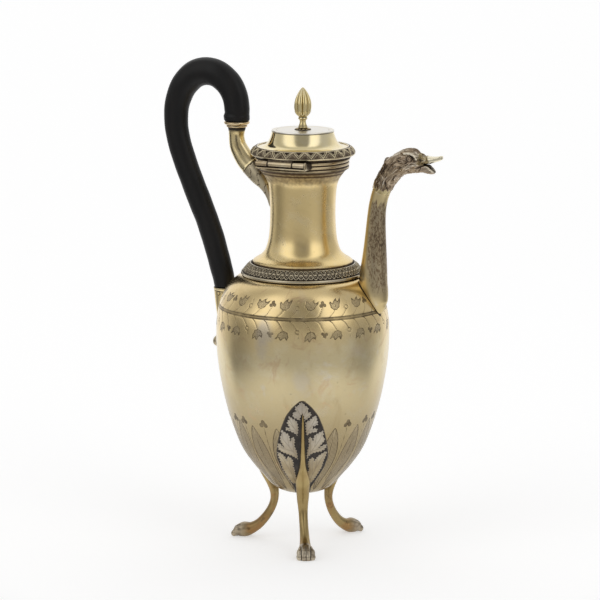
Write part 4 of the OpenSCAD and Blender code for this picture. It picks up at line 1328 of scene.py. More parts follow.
# ------------------------------------------------------------------ hinge
def rod(x0, x1, r, y=-34.4, z=265.0, n=48, groove=False):
    e = min(0.22, r * 0.2)
    st = [(x0, 0.0), (x0, r - e), (x0 + e * 0.35, r - e * 0.35), (x0 + e, r)]
    mid = [(x, r) for x in np.linspace(x0 + e, x1 - e, 24)[1:-1]]
    st = st + mid + [(x1 - e, r), (x1 - e * 0.35, r - e * 0.35), (x1, r - e), (x1, 0.0)]
    q = np.arange(n) / n * TAU
    rings = []
    for x, rr in st:
        if rr <= 0:
            rings.append(np.array([[x, y, z]]))
        else:
            rings.append(np.stack([np.full(n, x), y + rr * np.cos(q), z + rr * np.sin(q)], 1))
    return skin(rings)


def join(parts):
    V, F3, F4, n = [], [], [], 0
    for v, f in parts:
        V.append(v)
        for a in f:
            (F3 if a.shape[1] == 3 else F4).append(a + n)
        n += len(v)
    return np.concatenate(V), [np.concatenate(x) for x in (F4, F3) if x]


def block(outline, axis_pts, bevel=0.12):
    """a prism of a (y, z) outline between two x values, with softened edges"""
    o = rounded(outline, bevel * 2, 3, True)
    x0, x1 = axis_pts
    c = o.mean(0)
    rings = []
    for x, k in ((x0, 1 - bevel / 2.5), (x0 + bevel, 1), (x1 - bevel, 1), (x1, 1 - bevel / 2.5)):
        p = c + (o - c) * k
        rings.append(np.stack([np.full(len(o), x), p[:, 0], p[:, 1]], 1))
    return skin(rings)


def hinge_shade_and_joints(V):
    """painted shade under the barrels and on their side towards the rim; also darker along their tops, at their ends
    and in the joints
    """
    x, y, z = V.T
    a = np.arctan2(z - 265.0, -(y + 34.4))
    rec = 0.15 + 0.75 * smooth(-a, 0.1, 0.9) + 0.5 * smooth(a, 1.2, 1.9)
    for e in (-18, -9, 9, 18):
        rec = rec + 0.9 * bell(np.abs(x - e) - 0.15, 0.30)
    rec = rec + 0.8 * (y > -33.0)
    return np.clip(rec, 0, 1.15)


def make_hinge():
    kn = 9.0
    parts = []
    for a, b in ((-18 + 0.15, -9 - 0.15), (9 + 0.15, 18 - 0.15)):
        parts.append(rod(a, b, 1.9))
        # the leaf that joins the knuckle to the moulding of the mouth
        mid = (a + b) / 2
        near = -math.sqrt(31.5 ** 2 - max(abs(a), abs(b)) ** 2)
        parts.append(block([(-34.6, 263.15), (near - 0.1, 263.15), (near - 0.1, 264.7), (-34.6, 264.7)], (a + 0.1, b - 0.1)))
    # the ledge under the barrel, and the upright plate that ends it
    rings = []
    for x in np.linspace(-18.3, 18.3, 61):
        near = -math.sqrt(31.0 ** 2 - x * x)
        rings.append(np.array([[x, y, z] for y, z in ((-35.38, 261.75), (near, 261.75), (near, 262.65), (-35.38, 262.65), (-35.5, 262.53), (-35.5, 261.87))]))
    parts.append(skin(rings))
    parts.append(block([(-36.6, 261.9), (-25.4, 261.9), (-25.4, 265.5), (-31.6, 265.8), (-33.3, 267.1), (-34.3, 267.5), (-36.2, 267.0), (-36.7, 265.4)], (17.95, 18.75)))
    V, F = join(parts)
    rec = hinge_shade_and_joints(V)
    m = sum(len(v) for v, _ in parts[-2:])
    # painted shade on the ledge under the barrel and on the end plate's side towards the rim
    rec[-m:] = 0.20 + 0.75 * (V[-m:, 1] > -34.6)
    piece(make_mesh("hinge_knuckles_pot", V, F, {"rec": rec}, [M["hinge"]]), "pot", ("hinge_body_knuckles",))
    V, F = rod(-18.4, 18.4, 0.86)
    piece(make_mesh("hinge_pin_rod", V, F, {"rec": hinge_shade_and_joints(V) * 0.5}, [M["hinge"]]), "pot", ("hinge_pin",))
    parts = [rod(-9 + 0.15, 9 - 0.15, 1.9)]
    parts.append(block([(-35.0, 265.5), (-32.6, 266.9), (-32.9, 268.0), (-34.7, 268.3), (-35.3, 267.2)], (-8.8, 8.8)))
    V, F = join(parts)
    piece(make_mesh("hinge_knuckle_lid", V, F, {"rec": hinge_shade_and_joints(V)}, [M["hinge"]]), "lid", ("hinge_lid_knuckle",))


# ------------------------------------------------------------------ spout
tube_st = [[56.4, 162.2, 0.9, 0.6], [55.6, 163.8, 4.0, 2.6], [54.6, 166.4, 6.9, 4.6], [53.4, 170, 9.0, 6.7], [52.5, 174.5, 9.9, 8.4], [52.1, 179.5, 10, 9.3], [52, 184.5, 9.6, 9.4],
           [52.3, 192, 9.1, 9.1], [52.9, 201.5, 8.2, 8.2], [53.4, 213.5, 7.2, 7.2], [53.9, 225, 6.4, 6.4], [54.6, 234, 6.0, 5.9], [55.9, 241, 5.9, 5.8]]
head_st = [[57.5, 246.2, 6.0, 5.8], [59.4, 250.6, 6.4, 6.0], [62, 255.4, 6.9, 6.2], [65.6, 260.4, 7.2, 6.5], [69.8, 264.2, 7.6, 6.8], [74.4, 266.7, 8.0, 7.1], [79.2, 268.2, 8.1, 7.3],
           [83.8, 268.5, 7.7, 7.0], [87.4, 267.9, 6.6, 6.1], [90, 267.4, 5.6, 5.2]]
chan_st = [[57.5, 246.2, 4.7, 4.5], [60.0, 251.6, 4.9, 4.6], [63.6, 257.2, 4.8, 4.4], [68.8, 262.0, 4.4, 4.1], [75.5, 264.6, 3.9, 3.8], [83, 265.2, 3.2, 3.3], [90, 264.9, 2.7, 2.7], [93.5, 264.6, 2.9, 2.5], [97, 264.6, 3.2, 2.3]]
SEAM = np.array([57.5, 246.2])
SEAM_UP = np.array([0.343, 0.939])


def hash01(a, b):
    x = np.sin(a * 127.1 + b * 311.7) * 43758.5453
    return x - np.floor(x)


def feathers(s, w, long=3.0, wide=1.7):
    """shingled feathers: s runs towards the tips, w across, both in mm; height 0..1"""
    h = np.zeros(np.shape(s))
    for k in (0, 1):
        cs = np.floor(s / long + 0.5 * k)
        cw = np.floor(w / wide + 0.5 * k)
        a = s / long + 0.5 * k - cs
        b = (w / wide + 0.5 * k - cw) * 2 - 1
        j = hash01(cs + 7 * k, cw)
        a = a + (j - 0.5) * 0.22
        half = np.sqrt(np.clip(1 - np.clip((a - 0.45) / 0.55, 0, 1) ** 2, 0, 1)) * 0.98
        inn = (np.abs(b) < half) & (a > 0) & (a < 1.0)
        barb = 0.10 * np.cos((np.abs(b) * 7 + a * 9)) * (np.abs(b) < 0.9)
        q = 0.30 + 0.70 * np.clip(a, 0, 1) - 0.32 * b * b - 0.20 * bell(b, 0.10) + barb
        h = np.maximum(h, np.where(inn, q, 0.0))
    return h


def make_spout_tube():
    m, rows = 216, 300
    dense_s = spline(tube_st + head_st[:1] + head_st[1:2], 40)[:40 * len(tube_st) + 1]
    q = np.arange(m) / m * TAU

    def points(inset):
        s = dense_s.copy()
        s[:, 2] -= inset
        s[:, 3] -= inset
        s[:, 2:] = np.maximum(s[:, 2:], 0.02)
        return np.array(loft_on(s, m))            # (stations, m, 3)
    L = np.r_[0, np.cumsum(np.linalg.norm(np.diff(dense_s[:, :2], axis=0), axis=1))]

    def start(P, gap):
        r = np.hypot(P[..., 0], P[..., 1])
        out = r > body_radius(np.clip(P[..., 2], 36.2, 188.5)) + gap
        out |= P[..., 2] > 188.5
        first = np.zeros(m)
        for j in range(m):
            bad = np.where(~out[:, j])[0]
            i = bad[-1] if len(bad) else 0
            if len(bad) and i + 1 < len(L):
                ra = r[i, j] - body_radius(P[i, j, 2]) - gap
                rb = r[i + 1, j] - body_radius(min(P[i + 1, j, 2], 188.5)) - gap
                t = 0 if rb == ra else np.clip(-ra / (rb - ra), 0, 1)
                first[j] = L[i] + t * (L[i + 1] - L[i])
            else:
                first[j] = L[0]
        return first

    def grid(P, s0, ts):
        out = np.zeros((len(ts), m, 3))
        S = np.zeros((len(ts), m))
        for j in range(m):
            s = s0[j] + (L[-1] - s0[j]) * ts
            for k in range(3):
                out[:, j, k] = np.interp(s, L, P[:, j, k])
            S[:, j] = s
        return out, S
    P = points(0.0)
    s0 = start(P, 0.05)
    # soften the start line round the tube
    ts = np.r_[np.linspace(0, 0.02, 8)[:-1], np.linspace(0.02, 1, rows)]
    V, S = grid(P, s0, ts)
    N = np.zeros_like(V)
    du = np.roll(V, -1, 1) - np.roll(V, 1, 1)
    dv = np.gradient(V, axis=0)
    N = np.cross(du, dv)
    N /= np.linalg.norm(N, axis=2, keepdims=True) + 1e-9
    c = V - V.mean(1, keepdims=True)
    if (N * c).sum() < 0:
        N = -N
    # q = 0 faces the front of the pot (+x), pi faces the pot
    A = np.tile(q[None, :], (len(ts), 1))
    half = np.interp(S, L, dense_s[:, 3])
    front = np.cos(A)
    near = S - s0[None, :]
    up = L[-1] - S
    w = A * 7.6 * 0.98
    tex = smooth(front, -0.62, -0.05) * smooth(near, 6, 20) * smooth(up + 1.7 * np.sin(A * 7.0) + 1.3 * np.sin(A * 13 + 1), 5.5, 8.5)
    tex *= 0.86 + 0.14 * smooth(np.sin(A * 3 + S * 0.16) + 0.6 * np.sin(S * 0.31 + A), -0.9, 0.4)
    f = feathers(-S + 400, A / TAU * 26 * 1.7 + 0.7 * np.sin(S * 0.37 + A * 2), 2.6, 1.7)
    patch = 0.5 + 0.5 * np.sin(S * 0.15 + 1.2 + 1.3 * np.sin(A * 2.0 + 0.6) + 0.8 * np.sin(S * 0.37 + A * 3))
    low = smooth(near, 8, 42)
    tex *= (0.55 + 0.45 * low) * smooth(np.cos(A + 0.55), -0.40, 0.35)
    off = tex * (0.16 * f - 0.12)
    # long soft facets run down from the collar
    off += 0.10 * np.cos(3 * A) * smooth(near, 3, 30)
    rec = tex * np.clip(0.27 + 0.12 * (1 - f) + 0.06 * (patch - 0.4), 0, 1.05)
    # feather tips of the collar lie over the top of the tube
    k = 13
    u = np.abs(wrap01(A / TAU * k)) * 2
    tip = -5.0 + 2.6 * (1 - u) + 1.0 * hash01(np.floor(A / TAU * k + 0.5), 3.0)
    col = smooth(tip - up, -0.12, 0.12)
    col = col * smooth(tip, 0.1, 0.6)
    off += col * (0.22 - 0.12 * u)
    rec = np.maximum(rec, col * np.clip(0.35 + 0.5 * smooth(u, 0.6, 1), 0, 1))
    rec = np.maximum(rec, 0.6 * bell(up - tip - 0.15, 0.30) * smooth(up, 0.5, 1.5))
    # the soldered seam on the body
    rec = np.maximum(rec, 1.25 * smooth(near, 0.95, 0.45))
    head = col
    V = V + N * off[..., None]
    P2 = points(1.0)
    s2 = np.maximum(start(P2, 0.05), s0 + 0.3)
    V2, _ = grid(P2, s2, np.linspace(1, 0, 46))
    rings = list(V) + list(V2)
    vv, F = skin(rings, closed=True)
    nr = len(V2) * m
    at = {"rec": np.r_[rec.ravel(), np.full(nr, 0.6)], "tex": np.r_[tex.ravel(), np.zeros(nr)], "gold": np.r_[(1 - head).ravel(), np.ones(nr)]}
    piece(make_mesh("spout_body", vv, F, at, [M["spout"]]), "pot", ("spout_tube",))


def sweep_coords(x, z, line):
    """nearest place on a path in the XZ plane: signed distance (positive above), arc length and index"""
    best = np.full(x.shape, 1e9)
    side = np.zeros(x.shape)
    arc = np.zeros(x.shape)
    idx = np.zeros(x.shape)
    L = np.r_[0, np.cumsum(np.linalg.norm(np.diff(line[:, :2], axis=0), axis=1))]
    for i in range(len(line) - 1):
        a, b = line[i, :2], line[i + 1, :2]
        d, t = seg2(x, z, a, b)
        cr_ = (b[0] - a[0]) * (z - a[1]) - (b[1] - a[1]) * (x - a[0])
        m = d < best
        best = np.where(m, d, best)
        side = np.where(m, np.sign(cr_) * d, side)
        arc = np.where(m, L[i] + t * (L[i + 1] - L[i]), arc)
        idx = np.where(m, i + t, idx)
    return side, arc, idx, L


HEAD_LINE = spline([[57.2, 245.0, 6.0, 5.8]] + [[57.9, 247.2, 6.05, 5.8]] + head_st[1:], 3)
SKULL = [(50.8, 244.6), (51.6, 246.9), (52.3, 249.2), (53.5, 253.6), (56, 258.6), (58.6, 262.9), (60.3, 265.6), (60.4, 267.3), (61.2, 268.5), (62.6, 268.6), (65.6, 270.3), (69.1, 272.7), (72.5, 274.7),
         (76.1, 276.0), (79.6, 276.5), (82.0, 276.2), (84.0, 275.2), (85.7, 273.8), (87.3, 272.3), (89.0, 271.0), (90.6, 270.0), (91.4, 268.2), (91.2, 266.7), (89.2, 265.5), (88.6, 263.4),
         (88.3, 261.5), (85.3, 260.9), (82.3, 260.6), (79, 260.2), (76.2, 259.5), (73.8, 258.5), (71.8, 257.1), (70, 255.2), (68.4, 253.2), (66.4, 250.6), (64.6, 247.4), (63.0, 243.8), (61.8, 240)]
BILL_UP = [(86.6, 271.9), (89.6, 272.2), (92.6, 271.9), (95.5, 271.8), (98.0, 272.1), (99.9, 272.6), (101.0, 272.6), (101.5, 271.8), (101.4, 270.2), (99.4, 269.1), (96.8, 268.2), (94.3, 267.3), (91.6, 266.5), (88.6, 266.2)]
BILL_LOW = [(86.5, 266.7), (89.6, 267.0), (91.3, 266.6), (92.7, 265.5), (94.1, 264.2), (95.4, 263.0), (96.2, 261.9), (96.2, 261.0), (95.5, 260.3), (94.0, 260.0), (91.3, 260.3), (88.3, 260.9), (85.5, 261.0)]


def puff(d2, y, D, W):
    """a drawn silhouette blown up to half thickness W, its edge rounded over a depth D"""
    t = np.minimum(-d2 / D, 1.0)
    g = np.sqrt((y / W) ** 2 + (1 - t) ** 2) - 1
    return g * np.minimum(D, W)


def head_field(p):
    x, y, z = p[:, 0], p[:, 1], p[:, 2]
    W = np.interp(x, [50, 58, 62, 70, 76, 80, 84, 88, 92], [5.8, 5.9, 6.2, 6.7, 7.0, 6.8, 5.9, 4.5, 3.6])
    D = np.interp(x, [50, 58, 66, 76, 84, 88, 92], [6.0, 6.2, 6.8, 8.0, 7.6, 6.0, 4.4])
    f = puff(poly2(x, z, SKULL), y, D, W)
    up = puff(poly2(x, z, BILL_UP), y, np.interp(x, [88, 92, 96, 101], [2.6, 2.3, 1.3, 0.7]), np.interp(x, [88, 92, 96, 99.5, 101, 101.8], [4.2, 3.9, 3.4, 2.7, 2.1, 1.3]))
    lo = puff(poly2(x, z, BILL_LOW), y, np.interp(x, [86, 92, 96], [2.1, 1.8, 1.2]), np.interp(x, [86, 90, 94, 96.4], [4.5, 4.3, 3.8, 2.6]))
    f = smin(f, up, 0.9)
    f = smin(f, lo, 0.7)
    # brow ridges, cheek and the swelling over the bill
    ay = np.abs(y)
    q = np.stack([x, ay, z], 1)
    brow = np.minimum(ellip(q, (81.9, 4.9, 272.3), (3.0, 1.2, 0.8), -0.45), ellip(q, (77.6, 5.6, 273.0), (3.2, 1.4, 0.75), -0.22))
    f = smin(f, brow, 0.7)
    cere = ellip(q, (85.0, 1.6, 269.8), (3.9, 3.2, 3.5), 0.5)
    f = smin(f, cere, 0.8)
    cheek = ellip(q, (75.0, 5.6, 264.6), (6.0, 1.9, 1.5), -0.12)
    f = smin(f, cheek, 1.2)
    # eye: a hollow, a lid ring and the ball
    de = np.hypot(x - 80.4, (z - 270.1) * 1.06)
    f = f + 0.75 * bell(de, 2.1)
    front_w = 6.65
    ring = np.sqrt((de - 1.62) ** 2 + ((ay - (front_w - 0.55)) * 0.8) ** 2) - 0.36
    ball = np.sqrt(de ** 2 + (ay - (front_w - 1.25)) ** 2) - 1.15
    f = smin(f, ring, 0.25)
    f = np.minimum(f, ball)
    # lumps on the swelling, nostril, and the line where the bills part
    on = smooth(x, 84.4, 86.2) * (1 - smooth(x + 0.583 * z, 248.6, 250.2)) * smooth(z, 265.6, 267.0)
    f = f - on * (0.95 * (vnoise(x * 0.62, ay * 0.62, z * 0.62, 3) - 0.5) + 0.45 * (vnoise(x * 1.5, ay * 1.5, z * 1.5, 5) - 0.5))
    g1, _ = line2(x, z, [(85.2, 276.2), (85.0, 274.4), (85.9, 272.4), (85.4, 270.4), (86.0, 268.4), (87.0, 267.2), (88.6, 266.7), (90.4, 266.8)])
    f = f + 0.24 * bell(g1, 0.6)
    g2, _ = line2(x, z, [(84.0, 263.8), (86.8, 264.9), (89.7, 266.0)])
    f = f + 0.35 * bell(g2, 0.4)
    nos = np.hypot((x - 88.6) * 0.75, z - 269.6)
    f = f + 0.30 * bell(nos, 0.6)
    # bright ridge of the brow
    br, _ = line2(x, z, [(76.4, 273.4), (78.6, 273.7), (81.2, 273.4), (83.2, 272.1), (84.6, 270.0)])
    f = f - 0.42 * bell(br, 0.50) * smooth(ay, 2.5, 4.5)
    # crest
    tuft = ellip(q, (61.8, 0, 268.0), (1.3, 1.1, 0.7), 0.9)
    f = smin(f, tuft, 0.5)
    return f


def head_feathers(p):
    """feathers that lie back along the head and down the neck: height, tone, and where they grow"""
    x, y, z = p[:, 0], p[:, 1], p[:, 2]
    side, arc, idx, L = sweep_coords(x, z, HEAD_LINE)
    phi = np.arctan2(y, side)
    warp = 0.9 * np.sin(arc * 0.33 + phi * 1.7) + 0.5 * np.sin(arc * 0.8 - phi * 3) + 0.25 * np.sin(arc * 1.9 + phi * 5)
    small = smooth(arc, 16, 24)
    big = feathers(90 - arc + warp, phi * 7.2 + warp * 0.55 + 40, 6.4, 2.9)
    fine = feathers(60 - arc + warp * 0.7, phi * 6.9 + warp * 0.5 + 40, 3.3, 1.6)
    f = big * (1 - 0.6 * small) + fine * (0.30 + 0.55 * small)
    # long wavering strands lie over the shingles
    wv = 1.6 * (vnoise(arc * 0.16, phi * 2.2, 0.0, 1) - 0.5) + 0.6 * (vnoise(arc * 0.45, phi * 4.4, 0.0, 2) - 0.5)
    n1 = vnoise(arc * 0.13, phi * 5.6 + wv * 1.9, 0.0, 4)
    n2 = vnoise(arc * 0.22, phi * 11.5 + wv * 3.2, 0.0, 6)
    n3 = vnoise(arc * 0.45, phi * 22 + wv * 5, 0.0, 8)
    ridged = 1 - np.abs(2 * n2 - 1)
    strand = np.clip(0.50 * n1 + 0.55 * ridged + 0.22 * n3 - 0.18, 0, 1.1)
    f = np.clip(0.26 * f + 0.92 * strand, 0, 1.25)
    tone = hash01(np.floor((90 - arc + warp) / 6.4), np.floor((phi * 7.2 + warp * 0.55 + 40) / 2.9)) * 0.45 + 0.55 * (0.5 + 0.5 * np.sin(phi * 4.3 + arc * 0.5 + warp))
    gold = smooth(x + 0.583 * z, 249.3, 250.3) * smooth(z, 266.0, 266.6) * (x > 87)
    cere = smooth(x + 0.6 * np.sin(z * 2.1), 84.6, 86.2) * smooth(z, 265.2, 266.8) * (1 - gold)
    de = np.hypot(x - 80.4, (z - 270.1) * 1.06)
    keep = (1 - gold) * (1 - cere) * smooth(de, 2.0, 2.9) * (1 - 0.75 * smooth(x, 83.5, 88))
    jag = np.abs(wrap01(phi / TAU * 11 + 0.12 * np.sin(phi * 5))) * 2
    collar = 1 - smooth(arc + 2.4 * (jag - 0.5) + 0.7 * np.sin(phi * 3.7 + 1), 3.2 - 1.0 * np.cos(phi), 3.9 - 1.0 * np.cos(phi))
    keep = keep * (1 - collar)
    return f, tone, gold, keep, de, arc, cere


def make_spout_head():
    lo, hi = (49.6, -9.2, 240.6), (102.6, 9.2, 278.4)
    h = 0.27
    chan = spline([[55.6, 241, 4.6, 4.5]] + chan_st + [[104, 264.6, 3.2, 2.3]], 4)

    def field(p):
        f = head_field(p)
        near = np.abs(f) < 1.2
        if near.any():
            ft, tone, gold, keep, de, arc, cere = head_feathers(p[near])
            f[near] -= keep * (1.05 * ft - 0.52)
        x, y, z = p[:, 0], p[:, 1], p[:, 2]
        side, arc, idx, L = sweep_coords(x, z, chan)
        a = np.interp(arc, L, chan[:, 2])
        b = np.interp(arc, L, chan[:, 3])
        c = (np.sqrt((side / a) ** 2 + (y / b) ** 2) - 1) * np.minimum(a, b)
        f = smax(f, -c, 0.15)
        plane = (x - SEAM[0]) * SEAM_UP[0] + (z - SEAM[1]) * SEAM_UP[1]
        return np.maximum(f, -(plane - 0.02))
    V, F = mesh_of(field, lo, hi, h)
    V = relax(V, F, 1, 0.45)
    ft, tone, gold, keep, de, arc, cere = head_feathers(V)
    x, y, z = V.T
    phi0 = np.arctan2(y, sweep_coords(x, z, HEAD_LINE)[0])
    ay = np.abs(y)
    rec = keep * np.clip(1.28 - 1.55 * ft + 0.40 * (0.5 - tone), 0, 1)
    lump = 0.7 * vnoise(x * 0.62, ay * 0.62, z * 0.62, 3) + 0.5 * vnoise(x * 1.5, ay * 1.5, z * 1.5, 5)
    rec = np.maximum(rec, cere * np.clip(1.22 - 1.35 * lump, 0.02, 0.85))
    rec = np.maximum(rec, 0.95 * bell(np.abs(de - 1.9), 0.42) * (ay > 3.0))
    rec = np.maximum(rec, 0.80 * bell(np.hypot(x - 83.4, (z - 269.0) * 1.2), 1.1) * (ay > 3.0))
    rec = rec * (1 - 0.9 * bell(de - 1.35, 0.30) * (ay > 3)) * (1 - 0.5 * (de < 0.7))
    g1, _ = line2(x, z, [(85.2, 276.2), (85.0, 274.4), (85.9, 272.4), (85.4, 270.4), (86.0, 268.4), (87.0, 267.2), (88.6, 266.7), (90.4, 266.8)])
    g2, _ = line2(x, z, [(84.0, 263.8), (86.8, 264.9), (89.7, 266.0)])
    nos = np.hypot((x - 88.6) * 0.75, z - 269.6)
    rec = np.maximum(rec, 0.45 * bell(g1, 0.6))
    rec = np.maximum(rec, 0.9 * bell(g2, 0.5))
    rec = np.maximum(rec, 0.9 * bell(nos, 0.55) * (ay > 2))
    br, _ = line2(x, z, [(76.4, 273.4), (78.6, 273.7), (81.2, 273.4), (83.2, 272.1), (84.6, 270.0)])
    # painted highlight along the brow ridge, and painted shade in a line just under it
    brow = bell(br, 0.55) * smooth(ay, 2.5, 4.5)
    rec = rec * (1 - brow)
    rec = np.maximum(rec, 0.8 * bell(br - 1.15, 0.35) * (z < 272.9) * (x > 79) * (ay > 3))
    # dark notch behind the crest
    rec = np.maximum(rec, 1.0 * bell(np.hypot(x - 61.4, z - 268.0), 1.4))
    # painted highlight along the edge of the lower bill
    ld, _ = line2(x, z, [(90.6, 265.3), (92.3, 264.6), (94.2, 263.0), (96.0, 261.4)])
    lip = bell(ld, 0.55) * (ay > 1.2)
    # the gold attribute marks the gilt bill and swelling, and also carries the painted highlights of the brow and the
    # lower bill's edge
    pale = np.clip(gold + 0.9 * brow + 0.80 * cere + 0.20 * keep * tone * (ft > 0.5) + 0.3 * lip, 0, 1)
    # painted highlights: glints on the lumps of the swelling and streaks of sheen on the feathers, joined with the brow
    # and the bill's edge
    lumps = cere * smooth(lump, 0.74, 0.92)
    sheen = keep * smooth(ft, 0.60, 0.95) * smooth(vnoise(arc * 0.10, phi0 * 5.2, 0.0, 11), 0.52, 0.70)
    painted_highlight = np.clip(0.8 * lip + 1.0 * brow + 0.8 * lumps + 0.75 * sheen, 0, 1) * (1 - gold)
    rec = rec * (1 - 0.6 * painted_highlight)
    # painted shade: the inside of the open bill is made near black
    side, arc2, idx, L = sweep_coords(x, z, chan)
    a = np.interp(arc2, L, chan[:, 2])
    b = np.interp(arc2, L, chan[:, 3])
    c = (np.sqrt((side / a) ** 2 + (y / b) ** 2) - 1) * np.minimum(a, b)
    rec = np.maximum(rec, (c < 0.12) * 1.15)
    # bill is the gilt bill with part of the painted brow highlight; the hi attribute holds the painted highlights
    piece(make_mesh("spout_bird_head", V, F, {"rec": rec, "gold": pale, "bill": np.clip(gold + 0.6 * brow, 0, 1), "hi": painted_highlight, "collar": 1 - smooth(arc + 2.4 * (np.abs(wrap01(phi0 / TAU * 11 + 0.12 * np.sin(phi0 * 5))) * 2 - 0.5) + 0.7 * np.sin(phi0 * 3.7 + 1), 3.2 - 1.0 * np.cos(phi0), 3.9 - 1.0 * np.cos(phi0))}, [M["head"]]), "pot", ("spout_head",))


# ------------------------------------------------------------------ handle
grip_st = [[-58.7, 170.6, 7.3], [-60.0, 180, 7.9], [-62.2, 188, 8.2], [-65.1, 198, 8.2], [-68.5, 208.5, 8.3], [-72.6, 219.4, 8.3], [-77.2, 230, 8.4], [-81.9, 240.8, 8.4],
           [-86.4, 251.6, 8.4], [-90.5, 262.4, 8.4], [-93.8, 273.2, 8.5], [-95.4, 284, 8.6], [-94.9, 295, 8.9], [-91.8, 304.8, 9.4], [-87.2, 312, 9.7],
           [-80.6, 317.6, 9.8], [-72.3, 320, 9.8], [-63.2, 318.3, 9.7], [-55.6, 312.6, 9.5], [-50.9, 304.8, 9.2], [-49.3, 296.5, 9.1], [-49.3, 291, 9.2], [-49.3, 287.5, 9.3]]
UP_X, LOW_X = -49.3, -60.6


def tube_part(st, m, per, name, mats, nodes, slot, fn=None, caps=(True, True), body="pot"):
    s = spline(st, per)
    rings = np.array(loft_on(s, m))
    L = np.r_[0, np.cumsum(np.linalg.norm(np.diff(s[:, :2], axis=0), axis=1))]
    A, S = np.meshgrid(np.arange(m) / m * TAU, L)
    c = np.stack([s[:, 0], 0 * s[:, 0], s[:, 1]], 1)[:, None, :]
    D = rings - c
    D /= np.linalg.norm(D, axis=2, keepdims=True) + 1e-9
    at = {}
    if fn is not None:
        off, at = fn(A, S, rings)
        rings = rings + D * off[..., None]
    return s, rings, at


def make_grip():
    m = 112
    st = [[a, b, c, c * 0.88] for a, b, c in grip_st]
    s = spline(st, 15)
    s = s[s[:, 1] > 0]
    # start where the wood is cut level above its socket
    L = np.r_[0, np.cumsum(np.linalg.norm(np.diff(s[:, :2], axis=0), axis=1))]
    k = np.argmax(s[:, 1] > 172.75)
    t = (172.76 - s[k - 1, 1]) / (s[k, 1] - s[k - 1, 1])
    s = np.concatenate([[s[k - 1] + (s[k] - s[k - 1]) * t], s[k:]])
    L = np.r_[0, np.cumsum(np.linalg.norm(np.diff(s[:, :2], axis=0), axis=1))]
    q = np.arange(m) / m * TAU
    d = np.gradient(s[:, :2], axis=0)
    d /= np.linalg.norm(d, axis=1, keepdims=True)
    # level first ring, upright last ring
    w = np.clip(1 - L / 9.0, 0, 1)[:, None]
    d = d * (1 - w) + np.array([0, 1.0]) * w
    d /= np.linalg.norm(d, axis=1, keepdims=True)
    rings = []
    A, S = np.meshgrid(q, L)
    tot = L[-1]
    # cross-section: a soft keel on the outer side of the arch that dies away down the long limb
    keel = smooth(S, tot * 0.30, tot * 0.62) * (1 - 0.55 * smooth(S, tot - 9, tot))
    out = np.cos(A)                      # +1 points right of the run: inside of the hook
    crease = -0.10 * bell(wrap(A - (math.pi * 0.62)), 0.30) - 0.10 * bell(wrap(A + (math.pi * 0.62)), 0.30) + 0.22 * bell(wrap(A - math.pi * 0.78), 0.26) + 0.22 * bell(wrap(A + math.pi * 0.78), 0.26)
    wave = 0.05 * np.sin(S * 0.21 + 2 * A) + 0.04 * np.sin(S * 0.43 - A)
    lip = 0.35 * bell(S - (tot - 3.0), 1.1) - 0.30 * bell(S - (tot - 5.2), 1.3)
    off = -0.34 + keel * crease + wave + lip * smooth(out, -1.2, -0.2)
    fillet = np.minimum(L, tot - L)
    e = np.clip(1 - fillet / 1.2, 0, 1)
    off = off - 0.9 * (1 - np.sqrt(np.clip(1 - e ** 2, 0, 1)))[:, None]
    for i in range(len(s)):
        a, b = s[i, 2] + off[i], s[i, 3] + off[i] * 0.9
        rings.append(np.stack([s[i, 0] + a * np.cos(q) * d[i, 1], b * np.sin(q), s[i, 1] - a * np.cos(q) * d[i, 0]], 1))
    rings = np.array(rings)
    r = np.hypot(rings[..., 0], rings[..., 1])
    z = rings[..., 2]
    lim = np.where(z < 188.6, body_radius(np.clip(z, 40, 188.6)) + 0.38, 0)
    lim = np.where(z > 188.6, 36.4, lim)
    k = np.where(r < lim, lim / r, 1.0)
    rings[..., :2] *= k[..., None]
    top = rings[-1].mean(0)
    bot = rings[0].mean(0)

    def disc(x, zz, rr):
        return np.stack([x + rr * np.cos(q) * 1.0, rr * np.sin(q), np.full(m, zz)], 1)
    # tenons into the socket and the ferrule; the rings run the same way round as the wood
    low = [disc(LOW_X, 163.5, 3.1), disc(LOW_X, 163.8, 3.45), disc(LOW_X, 172.6, 3.45)]
    high = [disc(UP_X, 287.3, 3.45), disc(UP_X, 277.4, 3.45), disc(UP_X, 277.1, 3.1)]
    V, F = skin(low + list(rings) + high)
    piece(make_mesh("handle_ebony_hook", V, F, None, [M["ebony"]]), "pot", ("handle_grip",))


def make_ferrule():
    prof = rounded([[3.56, 283.25], [6.3, 283.25], [7.0, 283.55], [7.15, 284.15], [6.75, 284.7], [7.7, 285.15], [8.5, 285.65], [8.75, 286.35], [8.5, 286.95], [7.9, 287.3], [3.56, 287.3]], 0.25, 3, True)
    p = dense(prof, 0.3)

    def rel(T, S, P, N):
        z = P[:, 1][:, None] + 0 * T
        out = P[:, 0][:, None] > 5.5
        rec = (0.95 * bell(z - 284.75, 0.42) + 0.8 * bell(z - 283.2, 0.4) + 0.8 * bell(z - 287.35, 0.22)) * out
        return 0.02 * np.sin(5 * T) * out, {"rec": np.clip(rec, 0, 1.1)}
    ob = closed_turn("handle_upper_ferrule", p, 112, [M["ferrule"]], rel, "pot", ("upper_ferrule",))
    v = np.empty(len(ob.data.vertices) * 3, np.float32)
    ob.data.vertices.foreach_get("co", v)
    v = v.reshape(-1, 3)
    v[:, 0] += UP_X * MM
    ob.data.vertices.foreach_set("co", v.ravel())
    ob.data.update()


